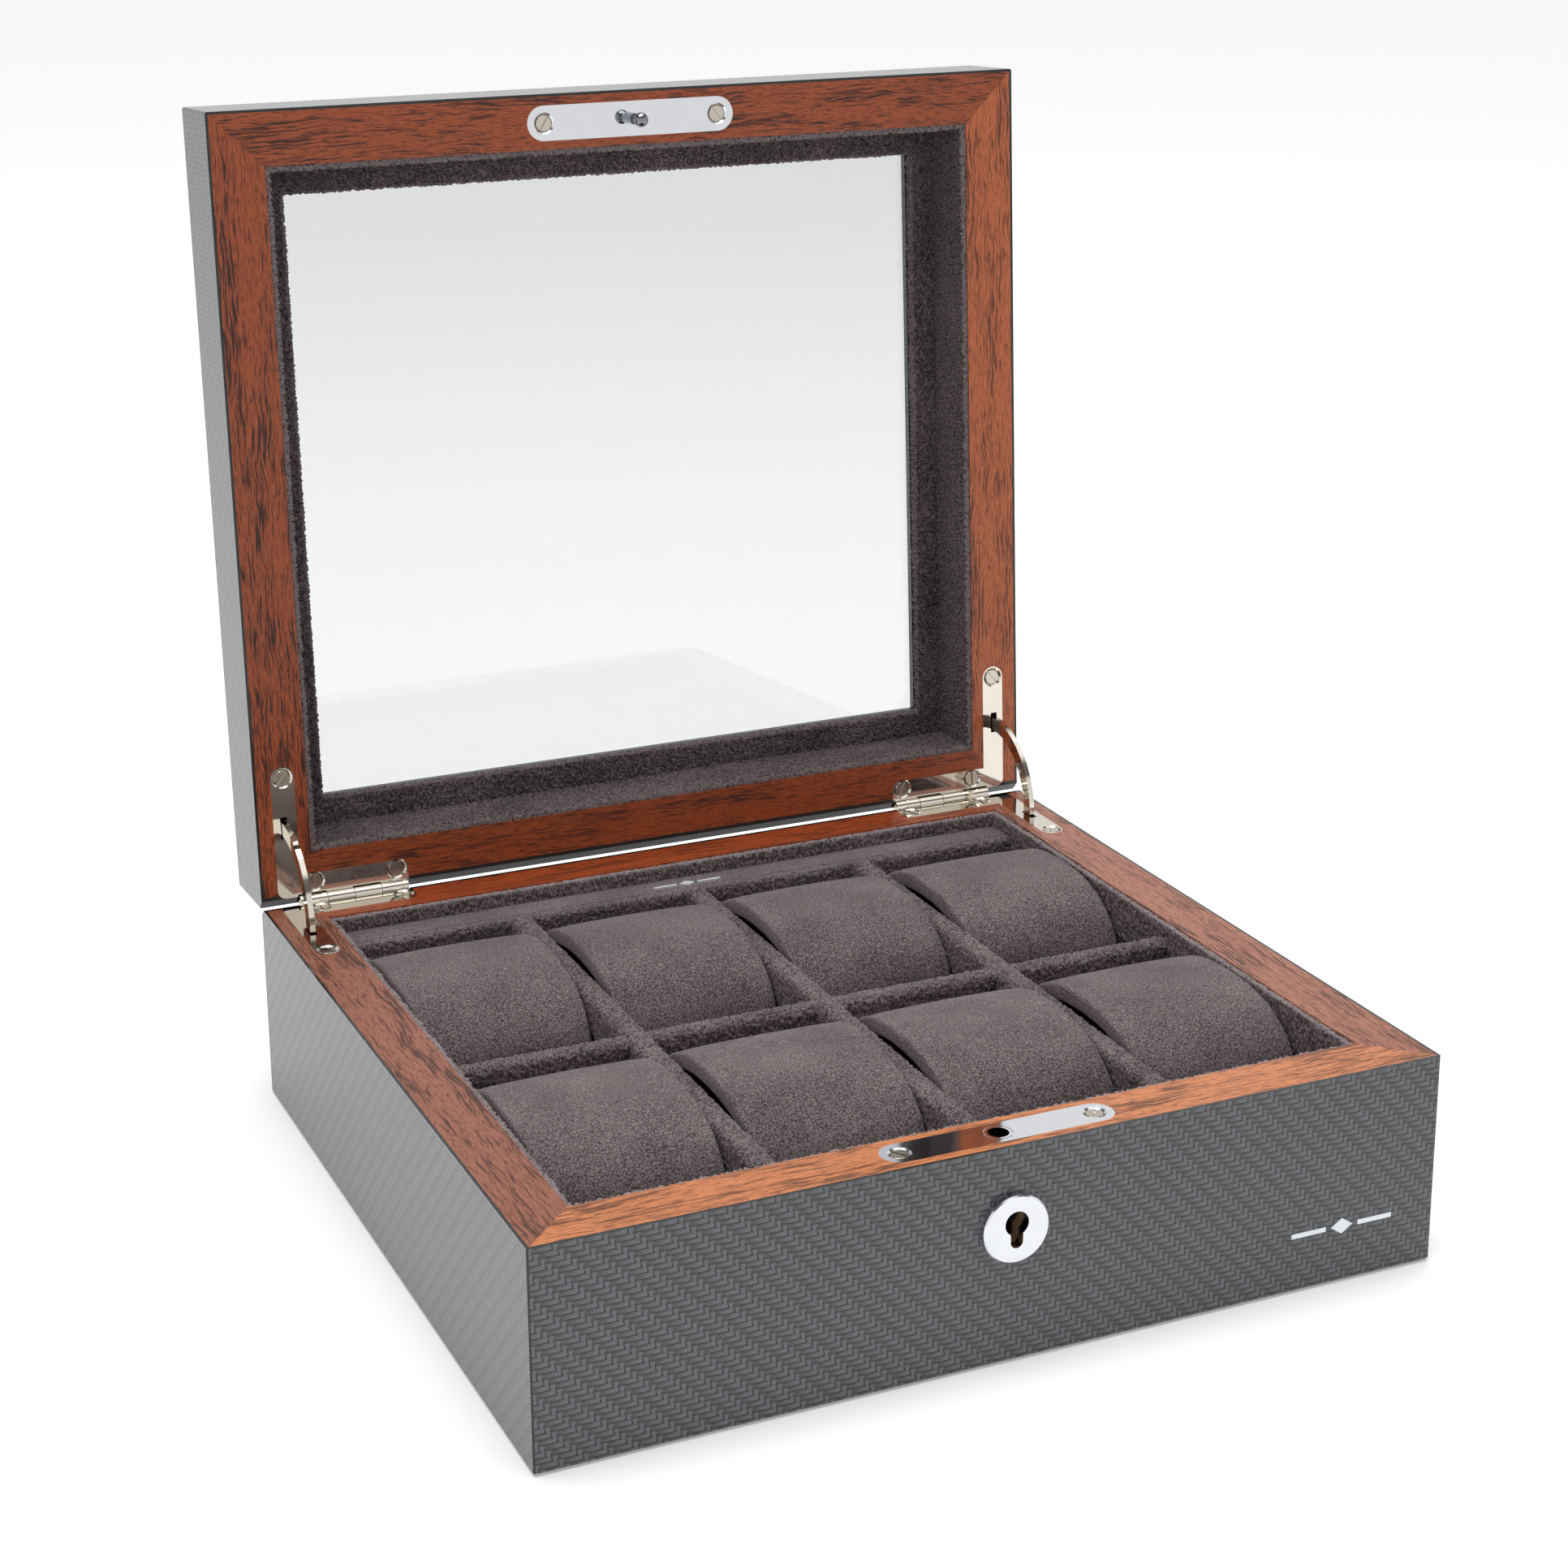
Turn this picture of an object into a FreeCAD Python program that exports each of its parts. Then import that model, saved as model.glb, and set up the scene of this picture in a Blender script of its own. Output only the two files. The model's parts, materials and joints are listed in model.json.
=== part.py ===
"""Eight-place watch box with a glazed lid, stay hinges and a box lock.

The box stands open.  Its frame: origin at the centre of the underside, +X to the
user's right when the lock faces the user, +Y towards the hinges, +Z up.
Everything is in millimetres.  The lid and all that is fixed to it are built shut
and then turned open about the hinge axis.
"""
import FreeCAD, Part
import math
import os

# ---- driving dimensions -------------------------------------------------------
BOX_WIDTH = 285.0          # outside, left to right
BOX_DEPTH = 262.5          # outside, front to back
BASE_HEIGHT = 67.0         # table to the base's rim
LID_HEIGHT = 30.6          # lid's rim to the lid's top
RIM_GAP = 0.2              # daylight between the two rims when shut
OPEN_ANGLE = 93.0          # degrees the lid stands open against its stays

RIM_WIDTH = 18.0           # width of the wooden rim, outside to lining
RAIL_THICKNESS = 4.0       # thickness of the wooden rim rails
LAMINATE = 0.9             # thickness of the woven-look laminate skin
EDGE_CHAMFER = 0.5         # small bevel along the laminate's edges
BACK_CHAMFER = 3.0         # bevel along the back edges, which clears the lid
PAD_THICKNESS = 1.0        # felt under the base
PAD_INSET = 5.0
BOTTOM_THICKNESS = 4.0     # plywood bottom
FLOOR_TOP = 13.0           # top of the suede-covered tray floor
LINING = 1.5               # suede lining on the walls
LINING_DROP = 0.3          # how far the lining stops below the rim

LEDGE_DEPTH = 13.5         # suede ledge behind the compartments
LEDGE_TOP = 61.5
DIVIDER_TOP = 61.2
DIVIDER_THICKNESS = 5.5
DIVIDER_ROUND = 2.2        # rounding along a divider's top
COLUMNS = 4
LAP_CLEARANCE = 0.05

CUSHION_WIDTH = 54.0       # along X
CUSHION_LENGTH = 80.0      # along Y
CUSHION_HEIGHT = 55.7      # of the whole outline, before the mouth is cut
CUSHION_WALL = 6.0
CUSHION_POWER = 2.4        # exponent of the rounded outline, 2 is an ellipse
CUSHION_MOUTH = 15.0       # half width of the gap under the cuff
CUSHION_BACK_GAP = 1.2
CUSHION_FLOOR_GAP = 0.3
OUTLINE_POINTS = 24

HINGE_INSET = 1.0          # hinge axis inside the back face
KNUCKLE_RADIUS = 2.4
PIN_RADIUS = 1.0
PIN_CLEARANCE = 0.05
KNUCKLES = 4
BARREL_START = 12.8        # barrel's outer end from the side of the box
BARREL_LENGTH = 37.6
KNUCKLE_GAP = 0.2
BARREL_CLEARANCE = 0.35
LEAF_THICKNESS = 1.5
LEAF_SIDE_INNER = 5.8      # leaf's side arm from the side of the box
LEAF_ARM_WIDTH = 8.0
LEAF_SIDE_REACH = 47.6     # side arm's tip in front of the hinge axis
LEAF_BACK_END = 51.0       # back arm's tip from the side of the box
LOWER_BACK_ARM = 11.6      # back arm's front edge in front of the hinge axis
UPPER_BACK_ARM = 9.6
LEAF_CORNER = 3.0
LEAF_SCREW_BACK = 6.5      # back arm's screws in front of the hinge axis
LEAF_SCREW_END = 4.0       # from the back arm's tip
LEAF_SCREW_CORNER = 18.5   # from the side of the box
SLOT_WIDTH = 2.4
SLOT_NEAR = 22.8           # slot's ends in front of the hinge axis
SLOT_FAR = 30.2

STAY_OUTER = 28.6          # radius of the stay arm about the hinge axis
STAY_INNER = 24.0
STAY_THICKNESS = 1.8
STAY_OFFSET = 0.4          # arm's middle outside the leaf's middle line
STAY_LUG_THICKNESS = 3.2
STAY_LUG_ANGLE = 4.5
STAY_LUG_START = 4.0       # degrees behind the leaf's face
POCKET_WIDTH = 4.2
POCKET_DEPTH = 25.4
POCKET_NEAR = 12.0

PLATE_LENGTH = 73.0        # lock plate and striker plate
PLATE_WIDTH = 11.5
PLATE_THICKNESS = 1.2
PLATE_INSET = 9.5          # plate's centre line from the front face
PLATE_SCREW_PITCH = 61.4
LOCK_HOLE_RADIUS = 3.1
LOCK_RING_RADIUS = 4.3
LOCK_RING_GROOVE = 0.3
CASE_LENGTH = 44.0
CASE_WIDTH = 10.4
CASE_DEPTH = 34.0
CASE_WALL = 1.2
CASE_GAP = 0.1             # room round the case in the wood
BOLT_THICKNESS = 1.6
BOLT_LENGTH = 16.0
BOLT_WIDTH = 7.4
BOLT_TRAVEL = 6.0
BOLT_FORK = 7.0            # depth of the fork that grips the stud
BOLT_FORK_WIDTH = 3.2
BOLT_CLEAR_OF_STUD = 3.4   # fork's tip from the stud's axis, unlocked
BOLT_OVER_BALL = 0.3       # bolt's underside above the ball
BOLT_UNDER_COLLAR = 0.6    # stud's collar above the bolt
BOLT_SHELF = 0.8           # width of the shelf that the bolt slides on
BOLT_SLIDE_GAP = 0.05

ESCUTCHEON_RADIUS = 10.3
ESCUTCHEON_PROUD = 2.4
ESCUTCHEON_BEVEL = 0.4
KEY_ROUND_RADIUS = 3.7
KEY_ROUND_HEIGHT = 44.4
KEY_SLOT_HALF = 1.95
KEY_SLOT_BOTTOM = 36.9
ESCUTCHEON_HEIGHT = 42.6

STUD_LENGTH = 8.6          # striker plate to the ball's centre
STUD_BALL_RADIUS = 2.4
STUD_NECK_RADIUS = 1.3
STUD_COLLAR_RADIUS = 1.9
STUD_TANG = 9.0            # threaded part hidden in the lid

SCREW_HEAD_RADIUS = 2.7
SCREW_HEAD_DROP = 0.25
SCREW_DISH_RADIUS = 3.5
SCREW_HOLE_RADIUS = 2.85
SCREW_DISH_DEPTH = 0.6
SCREW_SHANK_RADIUS = 1.2
SCREW_SHANK_LENGTH = 9.0
SCREW_SLOT_WIDTH = 0.55
SCREW_SLOT_DEPTH = 0.6
SCREW_EDGE = 0.2
SCREW_TURN = 37.0          # spreads the directions of the screw slots
PILOT_RADIUS = 1.3
PILOT_EXTRA = 1.0          # pilot hole past the screw's tip

WINDOW_INSET = 28.8        # glass opening from the outside of the lid
FRAME_HEIGHT = 22.8        # suede frame's face above the lid's rim
FRAME_THICKNESS = 2.5
GLASS_THICKNESS = 2.5
GLASS_INSET = 18.4

EMBLEM_LIFT = 0.4
EMBLEM_X = 110.0           # centre of the mark on the front
EMBLEM_Z = 18.8
FRONT_EMBLEM = (34.8, 5.0)     # width and height
LEDGE_EMBLEM = (24.6, 3.8)
EMBLEM_BAR = 0.34          # length of a bar as a share of the mark's width
EMBLEM_BAR_HEIGHT = 0.3    # thickness of a bar as a share of the mark's height
EMBLEM_LOZENGE = 0.75      # half length of the lozenge as a share of the height

# ---- sizes that follow ----------------------------------------------------------
HALF_W = BOX_WIDTH / 2
HALF_D = BOX_DEPTH / 2
LID_RIM = BASE_HEIGHT + RIM_GAP
AXIS_Y = HALF_D - HINGE_INSET
AXIS_Z = BASE_HEIGHT + RIM_GAP / 2
INSIDE_X = HALF_W - RIM_WIDTH - LINING
INSIDE_Y = HALF_D - RIM_WIDTH - LINING
LEDGE_FRONT = INSIDE_Y - LEDGE_DEPTH
ROW_DEPTH = (LEDGE_FRONT + INSIDE_Y - DIVIDER_THICKNESS) / 2
LONG_DIVIDER_Y = -INSIDE_Y + ROW_DEPTH + DIVIDER_THICKNESS / 2
COLUMN_WIDTH = (2 * INSIDE_X - (COLUMNS - 1) * DIVIDER_THICKNESS) / COLUMNS
COLUMN_PITCH = COLUMN_WIDTH + DIVIDER_THICKNESS
PLATE_Y = -HALF_D + PLATE_INSET
STAY_X = LEAF_SIDE_INNER + LEAF_ARM_WIDTH / 2 - STAY_OFFSET
FRAME_TOP = FRAME_HEIGHT + FRAME_THICKNESS
TOP_FRAME_START = FRAME_TOP + GLASS_THICKNESS
BOLT_LEVEL = LID_RIM - STUD_LENGTH + STUD_BALL_RADIUS + BOLT_OVER_BALL
LAP_HEIGHT = (FLOOR_TOP + DIVIDER_TOP) / 2
FAR = 200.0                # past every piece, for cutting tools
X_DIR = FreeCAD.Vector(1, 0, 0)
Y_DIR = FreeCAD.Vector(0, 1, 0)
Z_DIR = FreeCAD.Vector(0, 0, 1)
AXIS_POINT = FreeCAD.Vector(0, AXIS_Y, AXIS_Z)


# ---- small makers ---------------------------------------------------------------
def box(x0, x1, y0, y1, z0, z1):
    """A block from its lowest to its highest corner."""
    return Part.makeBox(x1 - x0, y1 - y0, z1 - z0, FreeCAD.Vector(x0, y0, z0))


def rod(radius, start, direction, length):
    """A round bar from a start point along a direction."""
    return Part.makeCylinder(radius, length, FreeCAD.Vector(*start), direction)


def prism(points, direction):
    """A closed polygon pushed along a vector."""
    corners = [FreeCAD.Vector(*point) for point in points]
    return Part.Face(Part.makePolygon(corners + corners[:1])).extrude(direction)


def stadium(length, width, x, y, z0, z1):
    """A bar with round ends, lying along X."""
    reach = (length - width) / 2
    bar = box(x - reach, x + reach, y - width / 2, y + width / 2, z0, z1)
    for end in (-reach, reach):
        bar = bar.fuse(rod(width / 2, (x + end, y, z0), Z_DIR, z1 - z0))
    return bar.removeSplitter()


def joined(shapes):
    """One solid from several that touch or overlap."""
    whole = shapes[0]
    for shape in shapes[1:]:
        whole = whole.fuse(shape)
    return whole.removeSplitter()


def mirrored(shape):
    """The right-hand copy of a left-hand piece."""
    return shape.mirror(FreeCAD.Vector(0, 0, 0), X_DIR)


def opened(shape):
    """A lid piece turned from shut to the open rest pose."""
    turned = shape.copy()
    turned.rotate(AXIS_POINT, X_DIR, -OPEN_ANGLE)
    return turned


def save(name, shape):
    """Write one piece as its own STEP file."""
    shape.exportStep("parts/" + name + ".step")


# ---- box shells -----------------------------------------------------------------
def shell_block(inset, low, high, chamfer_at_top):
    """The outside of the base or lid, shrunk by inset, with its back bevel."""
    slope = inset * (math.sqrt(2) - 1)
    back = HALF_D - inset
    bevel = BACK_CHAMFER + slope
    front = -HALF_D + inset
    x0 = -HALF_W + inset
    if chamfer_at_top:
        outline = [(x0, front, low), (x0, back, low), (x0, back, high - bevel),
                   (x0, back - bevel, high), (x0, front, high)]
    else:
        outline = [(x0, front, low), (x0, back - bevel, low), (x0, back, low + bevel),
                   (x0, back, high), (x0, front, high)]
    return prism(outline, FreeCAD.Vector(2 * (HALF_W - inset), 0, 0))


def side_wedge(side):
    """The part of the plan that one mitred side of the box holds."""
    w, d, r = HALF_W, HALF_D, RIM_WIDTH
    corners = {"front": [(-w, -d), (w, -d), (w - r, -d + r), (-w + r, -d + r)],
               "back": [(w, d), (-w, d), (-w + r, d - r), (w - r, d - r)],
               "left": [(-w, d), (-w, -d), (-w + r, -d + r), (-w + r, d - r)],
               "right": [(w, -d), (w, d), (w - r, d - r), (w - r, -d + r)]}[side]
    return prism([(x, y, 0.0) for x, y in corners], FreeCAD.Vector(0, 0, FAR))


def laminate_skin(low, high, chamfer_at_top):
    """The thin skin round the four sides, with its edges lightly bevelled."""
    skin = shell_block(0.0, low, high, chamfer_at_top)
    upright = [edge for edge in skin.Edges
               if abs(edge.tangentAt(edge.FirstParameter).z) > 0.99]
    skin = skin.makeChamfer(EDGE_CHAMFER, upright)
    return skin.cut(shell_block(LAMINATE, low, high, chamfer_at_top))


def edges_at(shape, z):
    """The level edges of a shape that lie at height z."""
    return [edge for edge in shape.Edges
            if abs(edge.BoundBox.ZMin - z) < 0.01 and abs(edge.BoundBox.ZMax - z) < 0.01]


# ---- screws ---------------------------------------------------------------------
def screw(x, y, z, down):
    """A slotted screw whose head lies just under the plane z; down is -1 or +1."""
    top = z + down * SCREW_HEAD_DROP
    axis = FreeCAD.Vector(0, 0, down)
    start = FreeCAD.Vector(x, y, top)
    head = Part.makeCylinder(SCREW_HEAD_RADIUS, LEAF_THICKNESS - SCREW_HEAD_DROP, start, axis)
    head = head.makeChamfer(SCREW_EDGE, edges_at(head, top))
    shank = Part.makeCylinder(SCREW_SHANK_RADIUS, SCREW_SHANK_LENGTH, start, axis)
    low, high = sorted((top - down, top + down * SCREW_SLOT_DEPTH))
    half = SCREW_SLOT_WIDTH / 2
    reach = SCREW_DISH_RADIUS
    slot = box(x - reach, x + reach, y - half, y + half, low, high)
    slot.rotate(FreeCAD.Vector(x, y, 0), Z_DIR, (x * SCREW_TURN) % 180)
    return head.fuse(shank).cut(slot)


def screw_hole(x, y, z, down, plate):
    """The dished hole through a plate that a screw's head sits in."""
    axis = FreeCAD.Vector(0, 0, down)
    dish = Part.makeCone(SCREW_DISH_RADIUS, SCREW_HOLE_RADIUS, SCREW_DISH_DEPTH,
                         FreeCAD.Vector(x, y, z), axis)
    start = FreeCAD.Vector(x, y, z - down)
    return dish.fuse(Part.makeCylinder(SCREW_HOLE_RADIUS, plate + 2, start, axis))


def screw_pilot(x, y, z, down, plate):
    """The room in the wood under a plate for a screw's head and shank."""
    axis = FreeCAD.Vector(0, 0, down)
    start = FreeCAD.Vector(x, y, z)
    hole = Part.makeCylinder(PILOT_RADIUS, SCREW_SHANK_LENGTH + PILOT_EXTRA, start, axis)
    return hole.fuse(Part.makeCylinder(SCREW_HOLE_RADIUS, max(plate, LEAF_THICKNESS), start, axis))


# ---- stay hinges, left-hand ones ------------------------------------------------
def barrel(radius, first, last, extra):
    """A cylinder on the hinge axis along part of the left barrel."""
    start = -HALF_W + BARREL_START + first * BARREL_LENGTH - extra
    length = (last - first) * BARREL_LENGTH + 2 * extra
    return rod(radius, (start, AXIS_Y, AXIS_Z), X_DIR, length)


def leaf_outline(arm_reach, z0, z1):
    """The flat L of a leaf: a long side arm with a round tip, and a back arm."""
    side = -HALF_W + LEAF_SIDE_INNER
    radius = LEAF_ARM_WIDTH / 2
    tip = AXIS_Y - LEAF_SIDE_REACH + radius
    back = HALF_D - BACK_CHAMFER
    long_arm = box(side, side + LEAF_ARM_WIDTH, tip, back, z0, z1)
    long_arm = long_arm.fuse(rod(radius, (side + radius, tip, z0), Z_DIR, z1 - z0))
    back_arm = box(side, -HALF_W + LEAF_BACK_END, AXIS_Y - arm_reach, back, z0, z1)
    plate = long_arm.fuse(back_arm).removeSplitter()
    corners = []
    for edge in plate.Edges:
        at = edge.BoundBox
        outer_back = at.XMax < side + 0.01 and at.YMin > back - 0.01
        inner_front = (at.XMin > -HALF_W + LEAF_BACK_END - 0.01
                       and at.YMax < AXIS_Y - arm_reach + 0.01)
        if at.ZLength > z1 - z0 - 0.01 and (outer_back or inner_front):
            corners.append(edge)
    return plate.makeFillet(LEAF_CORNER, corners)


def leaf_screws():
    """Where the three screws of a leaf sit: x and y."""
    side = -HALF_W + LEAF_SIDE_INNER + LEAF_ARM_WIDTH / 2
    back = AXIS_Y - LEAF_SCREW_BACK
    return [(side, AXIS_Y - LEAF_SIDE_REACH + LEAF_ARM_WIDTH / 2),
            (-HALF_W + LEAF_BACK_END - LEAF_SCREW_END, back),
            (-HALF_W + LEAF_SCREW_CORNER, back)]


def hinge_leaf(arm_reach, rim, down, first_knuckle):
    """One leaf with its knuckles, screw holes and the slot for the stay arm."""
    z0, z1 = sorted((rim, rim + down * LEAF_THICKNESS))
    plate = leaf_outline(arm_reach, z0, z1)
    plate = plate.cut(barrel(KNUCKLE_RADIUS + BARREL_CLEARANCE, 0, 1, KNUCKLE_GAP))
    for index in range(first_knuckle, KNUCKLES, 2):
        knuckle = barrel(KNUCKLE_RADIUS, index / KNUCKLES, (index + 1) / KNUCKLES,
                         -KNUCKLE_GAP / 2)
        along = knuckle.BoundBox
        web = box(along.XMin, along.XMax, AXIS_Y - 2 * KNUCKLE_RADIUS, AXIS_Y, z0, z1)
        plate = plate.fuse(knuckle).fuse(web)
    plate = plate.removeSplitter().cut(barrel(PIN_RADIUS + PIN_CLEARANCE, 0, 1, 1))
    x = -HALF_W + STAY_X
    slot = box(x - SLOT_WIDTH / 2, x + SLOT_WIDTH / 2, AXIS_Y - SLOT_FAR, AXIS_Y - SLOT_NEAR,
               z0 - 1, z1 + 1)
    plate = plate.cut(slot)
    for x, y in leaf_screws():
        plate = plate.cut(screw_hole(x, y, rim, down, LEAF_THICKNESS))
    return plate


def hinge_recess(arm_reach, rim, down):
    """All the wood that a left-hand leaf, its screws and the stay arm need away."""
    z0, z1 = sorted((rim, rim + down * LEAF_THICKNESS))
    room = leaf_outline(arm_reach, z0, z1).fuse(
        barrel(KNUCKLE_RADIUS + BARREL_CLEARANCE, 0, 1, 2 * KNUCKLE_GAP))
    x = -HALF_W + STAY_X
    p0, p1 = sorted((rim, rim + down * POCKET_DEPTH))
    room = room.fuse(box(x - POCKET_WIDTH / 2, x + POCKET_WIDTH / 2,
                         AXIS_Y - SLOT_FAR, AXIS_Y - POCKET_NEAR, p0, p1))
    for x, y in leaf_screws():
        room = room.fuse(screw_pilot(x, y, rim, down, LEAF_THICKNESS))
    return room


def ring_sector(outer, inner, thickness, start, end):
    """A curved bar about the hinge axis; 0 degrees points to the front."""
    x0 = -HALF_W + STAY_X - thickness / 2
    centre = FreeCAD.Vector(x0, AXIS_Y, AXIS_Z)

    def at(radius, angle):
        turn = math.radians(angle)
        return centre + FreeCAD.Vector(0, -radius * math.cos(turn), radius * math.sin(turn))

    middle = (start + end) / 2
    edges = [Part.Arc(at(outer, start), at(outer, middle), at(outer, end)).toShape(),
             Part.LineSegment(at(outer, end), at(inner, end)).toShape(),
             Part.Arc(at(inner, end), at(inner, middle), at(inner, start)).toShape(),
             Part.LineSegment(at(inner, start), at(outer, start)).toShape()]
    return Part.Face(Part.Wire(edges)).extrude(FreeCAD.Vector(thickness, 0, 0))


def stay_arm():
    """The left quadrant arm, with a stop lug at each end behind the leaves."""
    low = -STAY_LUG_START
    high = OPEN_ANGLE + STAY_LUG_START
    arm = ring_sector(STAY_OUTER, STAY_INNER, STAY_THICKNESS, low, high)
    for start, end in ((low - STAY_LUG_ANGLE, low), (high, high + STAY_LUG_ANGLE)):
        arm = arm.fuse(ring_sector(STAY_OUTER, STAY_INNER, STAY_LUG_THICKNESS, start, end))
    return arm.removeSplitter()


# ---- lock -----------------------------------------------------------------------
def key_opening(y0, y1):
    """The keyhole: a round hole over a slot with a round foot."""
    length = y1 - y0
    hole = rod(KEY_ROUND_RADIUS, (0, y0, KEY_ROUND_HEIGHT), Y_DIR, length)
    foot = KEY_SLOT_BOTTOM + KEY_SLOT_HALF
    slot = box(-KEY_SLOT_HALF, KEY_SLOT_HALF, y0, y1, foot, KEY_ROUND_HEIGHT)
    return joined([hole, slot, rod(KEY_SLOT_HALF, (0, y0, foot), Y_DIR, length)])


def lock_plate(rim, down):
    """A plate with round ends and two screw holes, for the lock or the striker."""
    z0, z1 = sorted((rim, rim + down * PLATE_THICKNESS))
    plate = stadium(PLATE_LENGTH, PLATE_WIDTH, 0, PLATE_Y, z0, z1)
    for x in (-PLATE_SCREW_PITCH / 2, PLATE_SCREW_PITCH / 2):
        plate = plate.cut(screw_hole(x, PLATE_Y, rim, down, PLATE_THICKNESS))
    return plate


def plate_recess(rim, down):
    """The wood that a plate and its screws need away."""
    z0, z1 = sorted((rim, rim + down * PLATE_THICKNESS))
    room = stadium(PLATE_LENGTH, PLATE_WIDTH, 0, PLATE_Y, z0, z1)
    for x in (-PLATE_SCREW_PITCH / 2, PLATE_SCREW_PITCH / 2):
        room = room.fuse(screw_pilot(x, PLATE_Y, rim, down, PLATE_THICKNESS))
    return room


def lock_front_plate():
    """The lock's plate in the base's rim, with its ringed hole for the stud."""
    top = BASE_HEIGHT
    plate = lock_plate(top, -1)
    groove = rod(LOCK_RING_RADIUS, (0, PLATE_Y, top - LOCK_RING_GROOVE), Z_DIR, 1)
    groove = groove.cut(rod(LOCK_RING_RADIUS - LOCK_RING_GROOVE, (0, PLATE_Y, top - 1), Z_DIR, 3))
    hole = rod(LOCK_HOLE_RADIUS, (0, PLATE_Y, top - 3), Z_DIR, 5)
    return plate.cut(groove).cut(hole)


def lock_case():
    """The open-topped case under the lock plate, with a shelf for the bolt."""
    top = BASE_HEIGHT - PLATE_THICKNESS
    low = top - CASE_DEPTH
    x = CASE_LENGTH / 2
    y0, y1 = PLATE_Y - CASE_WIDTH / 2, PLATE_Y + CASE_WIDTH / 2
    t = CASE_WALL
    case = box(-x, x, y0, y1, low, top).cut(box(-x + t, x - t, y0 + t, y1 - t, low + t, top))
    shelf_top = BOLT_LEVEL - BOLT_SLIDE_GAP
    for y in (y0 + t, y1 - t - BOLT_SHELF):
        case = case.fuse(box(-x + t, x - t, y, y + BOLT_SHELF, shelf_top - t, shelf_top))
    return case.removeSplitter().cut(key_opening(y0 - 1, y0 + t + BOLT_SHELF / 2))


def lock_bolt():
    """The forked bolt, drawn back clear of the stud."""
    tip = BOLT_CLEAR_OF_STUD
    half = BOLT_WIDTH / 2
    z0, z1 = BOLT_LEVEL, BOLT_LEVEL + BOLT_THICKNESS
    bolt = box(tip, tip + BOLT_LENGTH, PLATE_Y - half, PLATE_Y + half, z0, z1)
    grip = BOLT_FORK_WIDTH / 2
    root = tip + BOLT_FORK - grip
    fork = box(tip - 1, root, PLATE_Y - grip, PLATE_Y + grip, z0 - 1, z1 + 1)
    return bolt.cut(fork).cut(rod(grip, (root, PLATE_Y, z0 - 1), Z_DIR, BOLT_THICKNESS + 2))


def escutcheon():
    """The round keyhole plate on the front."""
    face = -HALF_D - ESCUTCHEON_PROUD
    disc = rod(ESCUTCHEON_RADIUS, (0, face, ESCUTCHEON_HEIGHT), Y_DIR, ESCUTCHEON_PROUD)
    rim = [edge for edge in disc.Edges
           if edge.BoundBox.YMax < face + 0.01]
    return disc.makeChamfer(ESCUTCHEON_BEVEL, rim).cut(key_opening(face - 1, -HALF_D + 1))


def striker_stud():
    """The ball stud that the bolt grips, hanging from the lid's striker plate."""
    plate_face = LID_RIM
    centre = plate_face - STUD_LENGTH
    ball = Part.makeSphere(STUD_BALL_RADIUS, FreeCAD.Vector(0, PLATE_Y, centre))
    neck = rod(STUD_NECK_RADIUS, (0, PLATE_Y, centre), Z_DIR, STUD_LENGTH + PLATE_THICKNESS)
    collar_start = BOLT_LEVEL + BOLT_THICKNESS + BOLT_UNDER_COLLAR
    collar = rod(STUD_COLLAR_RADIUS, (0, PLATE_Y, collar_start), Z_DIR, plate_face - collar_start)
    tang = rod(STUD_NECK_RADIUS, (0, PLATE_Y, plate_face), Z_DIR, STUD_TANG)
    return joined([ball, neck, collar, tang])


# ---- soft interior --------------------------------------------------------------
def open_frame(inset, width, z0, z1):
    """A rectangular ring, inset from the outside of the box."""
    x, y = HALF_W - inset, HALF_D - inset
    ring = box(-x, x, -y, y, z0, z1)
    x, y = x - width, y - width
    return ring.cut(box(-x, x, -y, y, z0 - 1, z1 + 1))


def round_top(shape):
    """A divider with its two long top edges rounded."""
    top = shape.BoundBox.ZMax
    long_edges = [edge for edge in edges_at(shape, top)
                  if edge.Length > 4 * DIVIDER_THICKNESS]
    return shape.makeFillet(DIVIDER_ROUND, long_edges)


def long_divider():
    """The divider between the rows, slotted from above for the cross dividers."""
    half = DIVIDER_THICKNESS / 2
    wall = round_top(box(-INSIDE_X, INSIDE_X, LONG_DIVIDER_Y - half, LONG_DIVIDER_Y + half,
                         FLOOR_TOP, DIVIDER_TOP))
    notch = half + LAP_CLEARANCE
    for x in column_joints():
        wall = wall.cut(box(x - notch, x + notch, LONG_DIVIDER_Y - 2 * half,
                            LONG_DIVIDER_Y + 2 * half, LAP_HEIGHT, DIVIDER_TOP + 1))
    return wall


def cross_divider(x):
    """A divider between two columns, slotted from below over the long one."""
    half = DIVIDER_THICKNESS / 2
    wall = round_top(box(x - half, x + half, -INSIDE_Y, LEDGE_FRONT, FLOOR_TOP, DIVIDER_TOP))
    notch = half + LAP_CLEARANCE
    return wall.cut(box(x - 2 * half, x + 2 * half, LONG_DIVIDER_Y - notch,
                        LONG_DIVIDER_Y + notch, FLOOR_TOP - 1, LAP_HEIGHT))


def column_joints():
    """X of each cross divider."""
    return [(index - (COLUMNS - 2) / 2) * COLUMN_PITCH for index in range(COLUMNS - 1)]


def column_centres():
    """X of each column's middle."""
    return [(index - (COLUMNS - 1) / 2) * COLUMN_PITCH for index in range(COLUMNS)]


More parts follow.
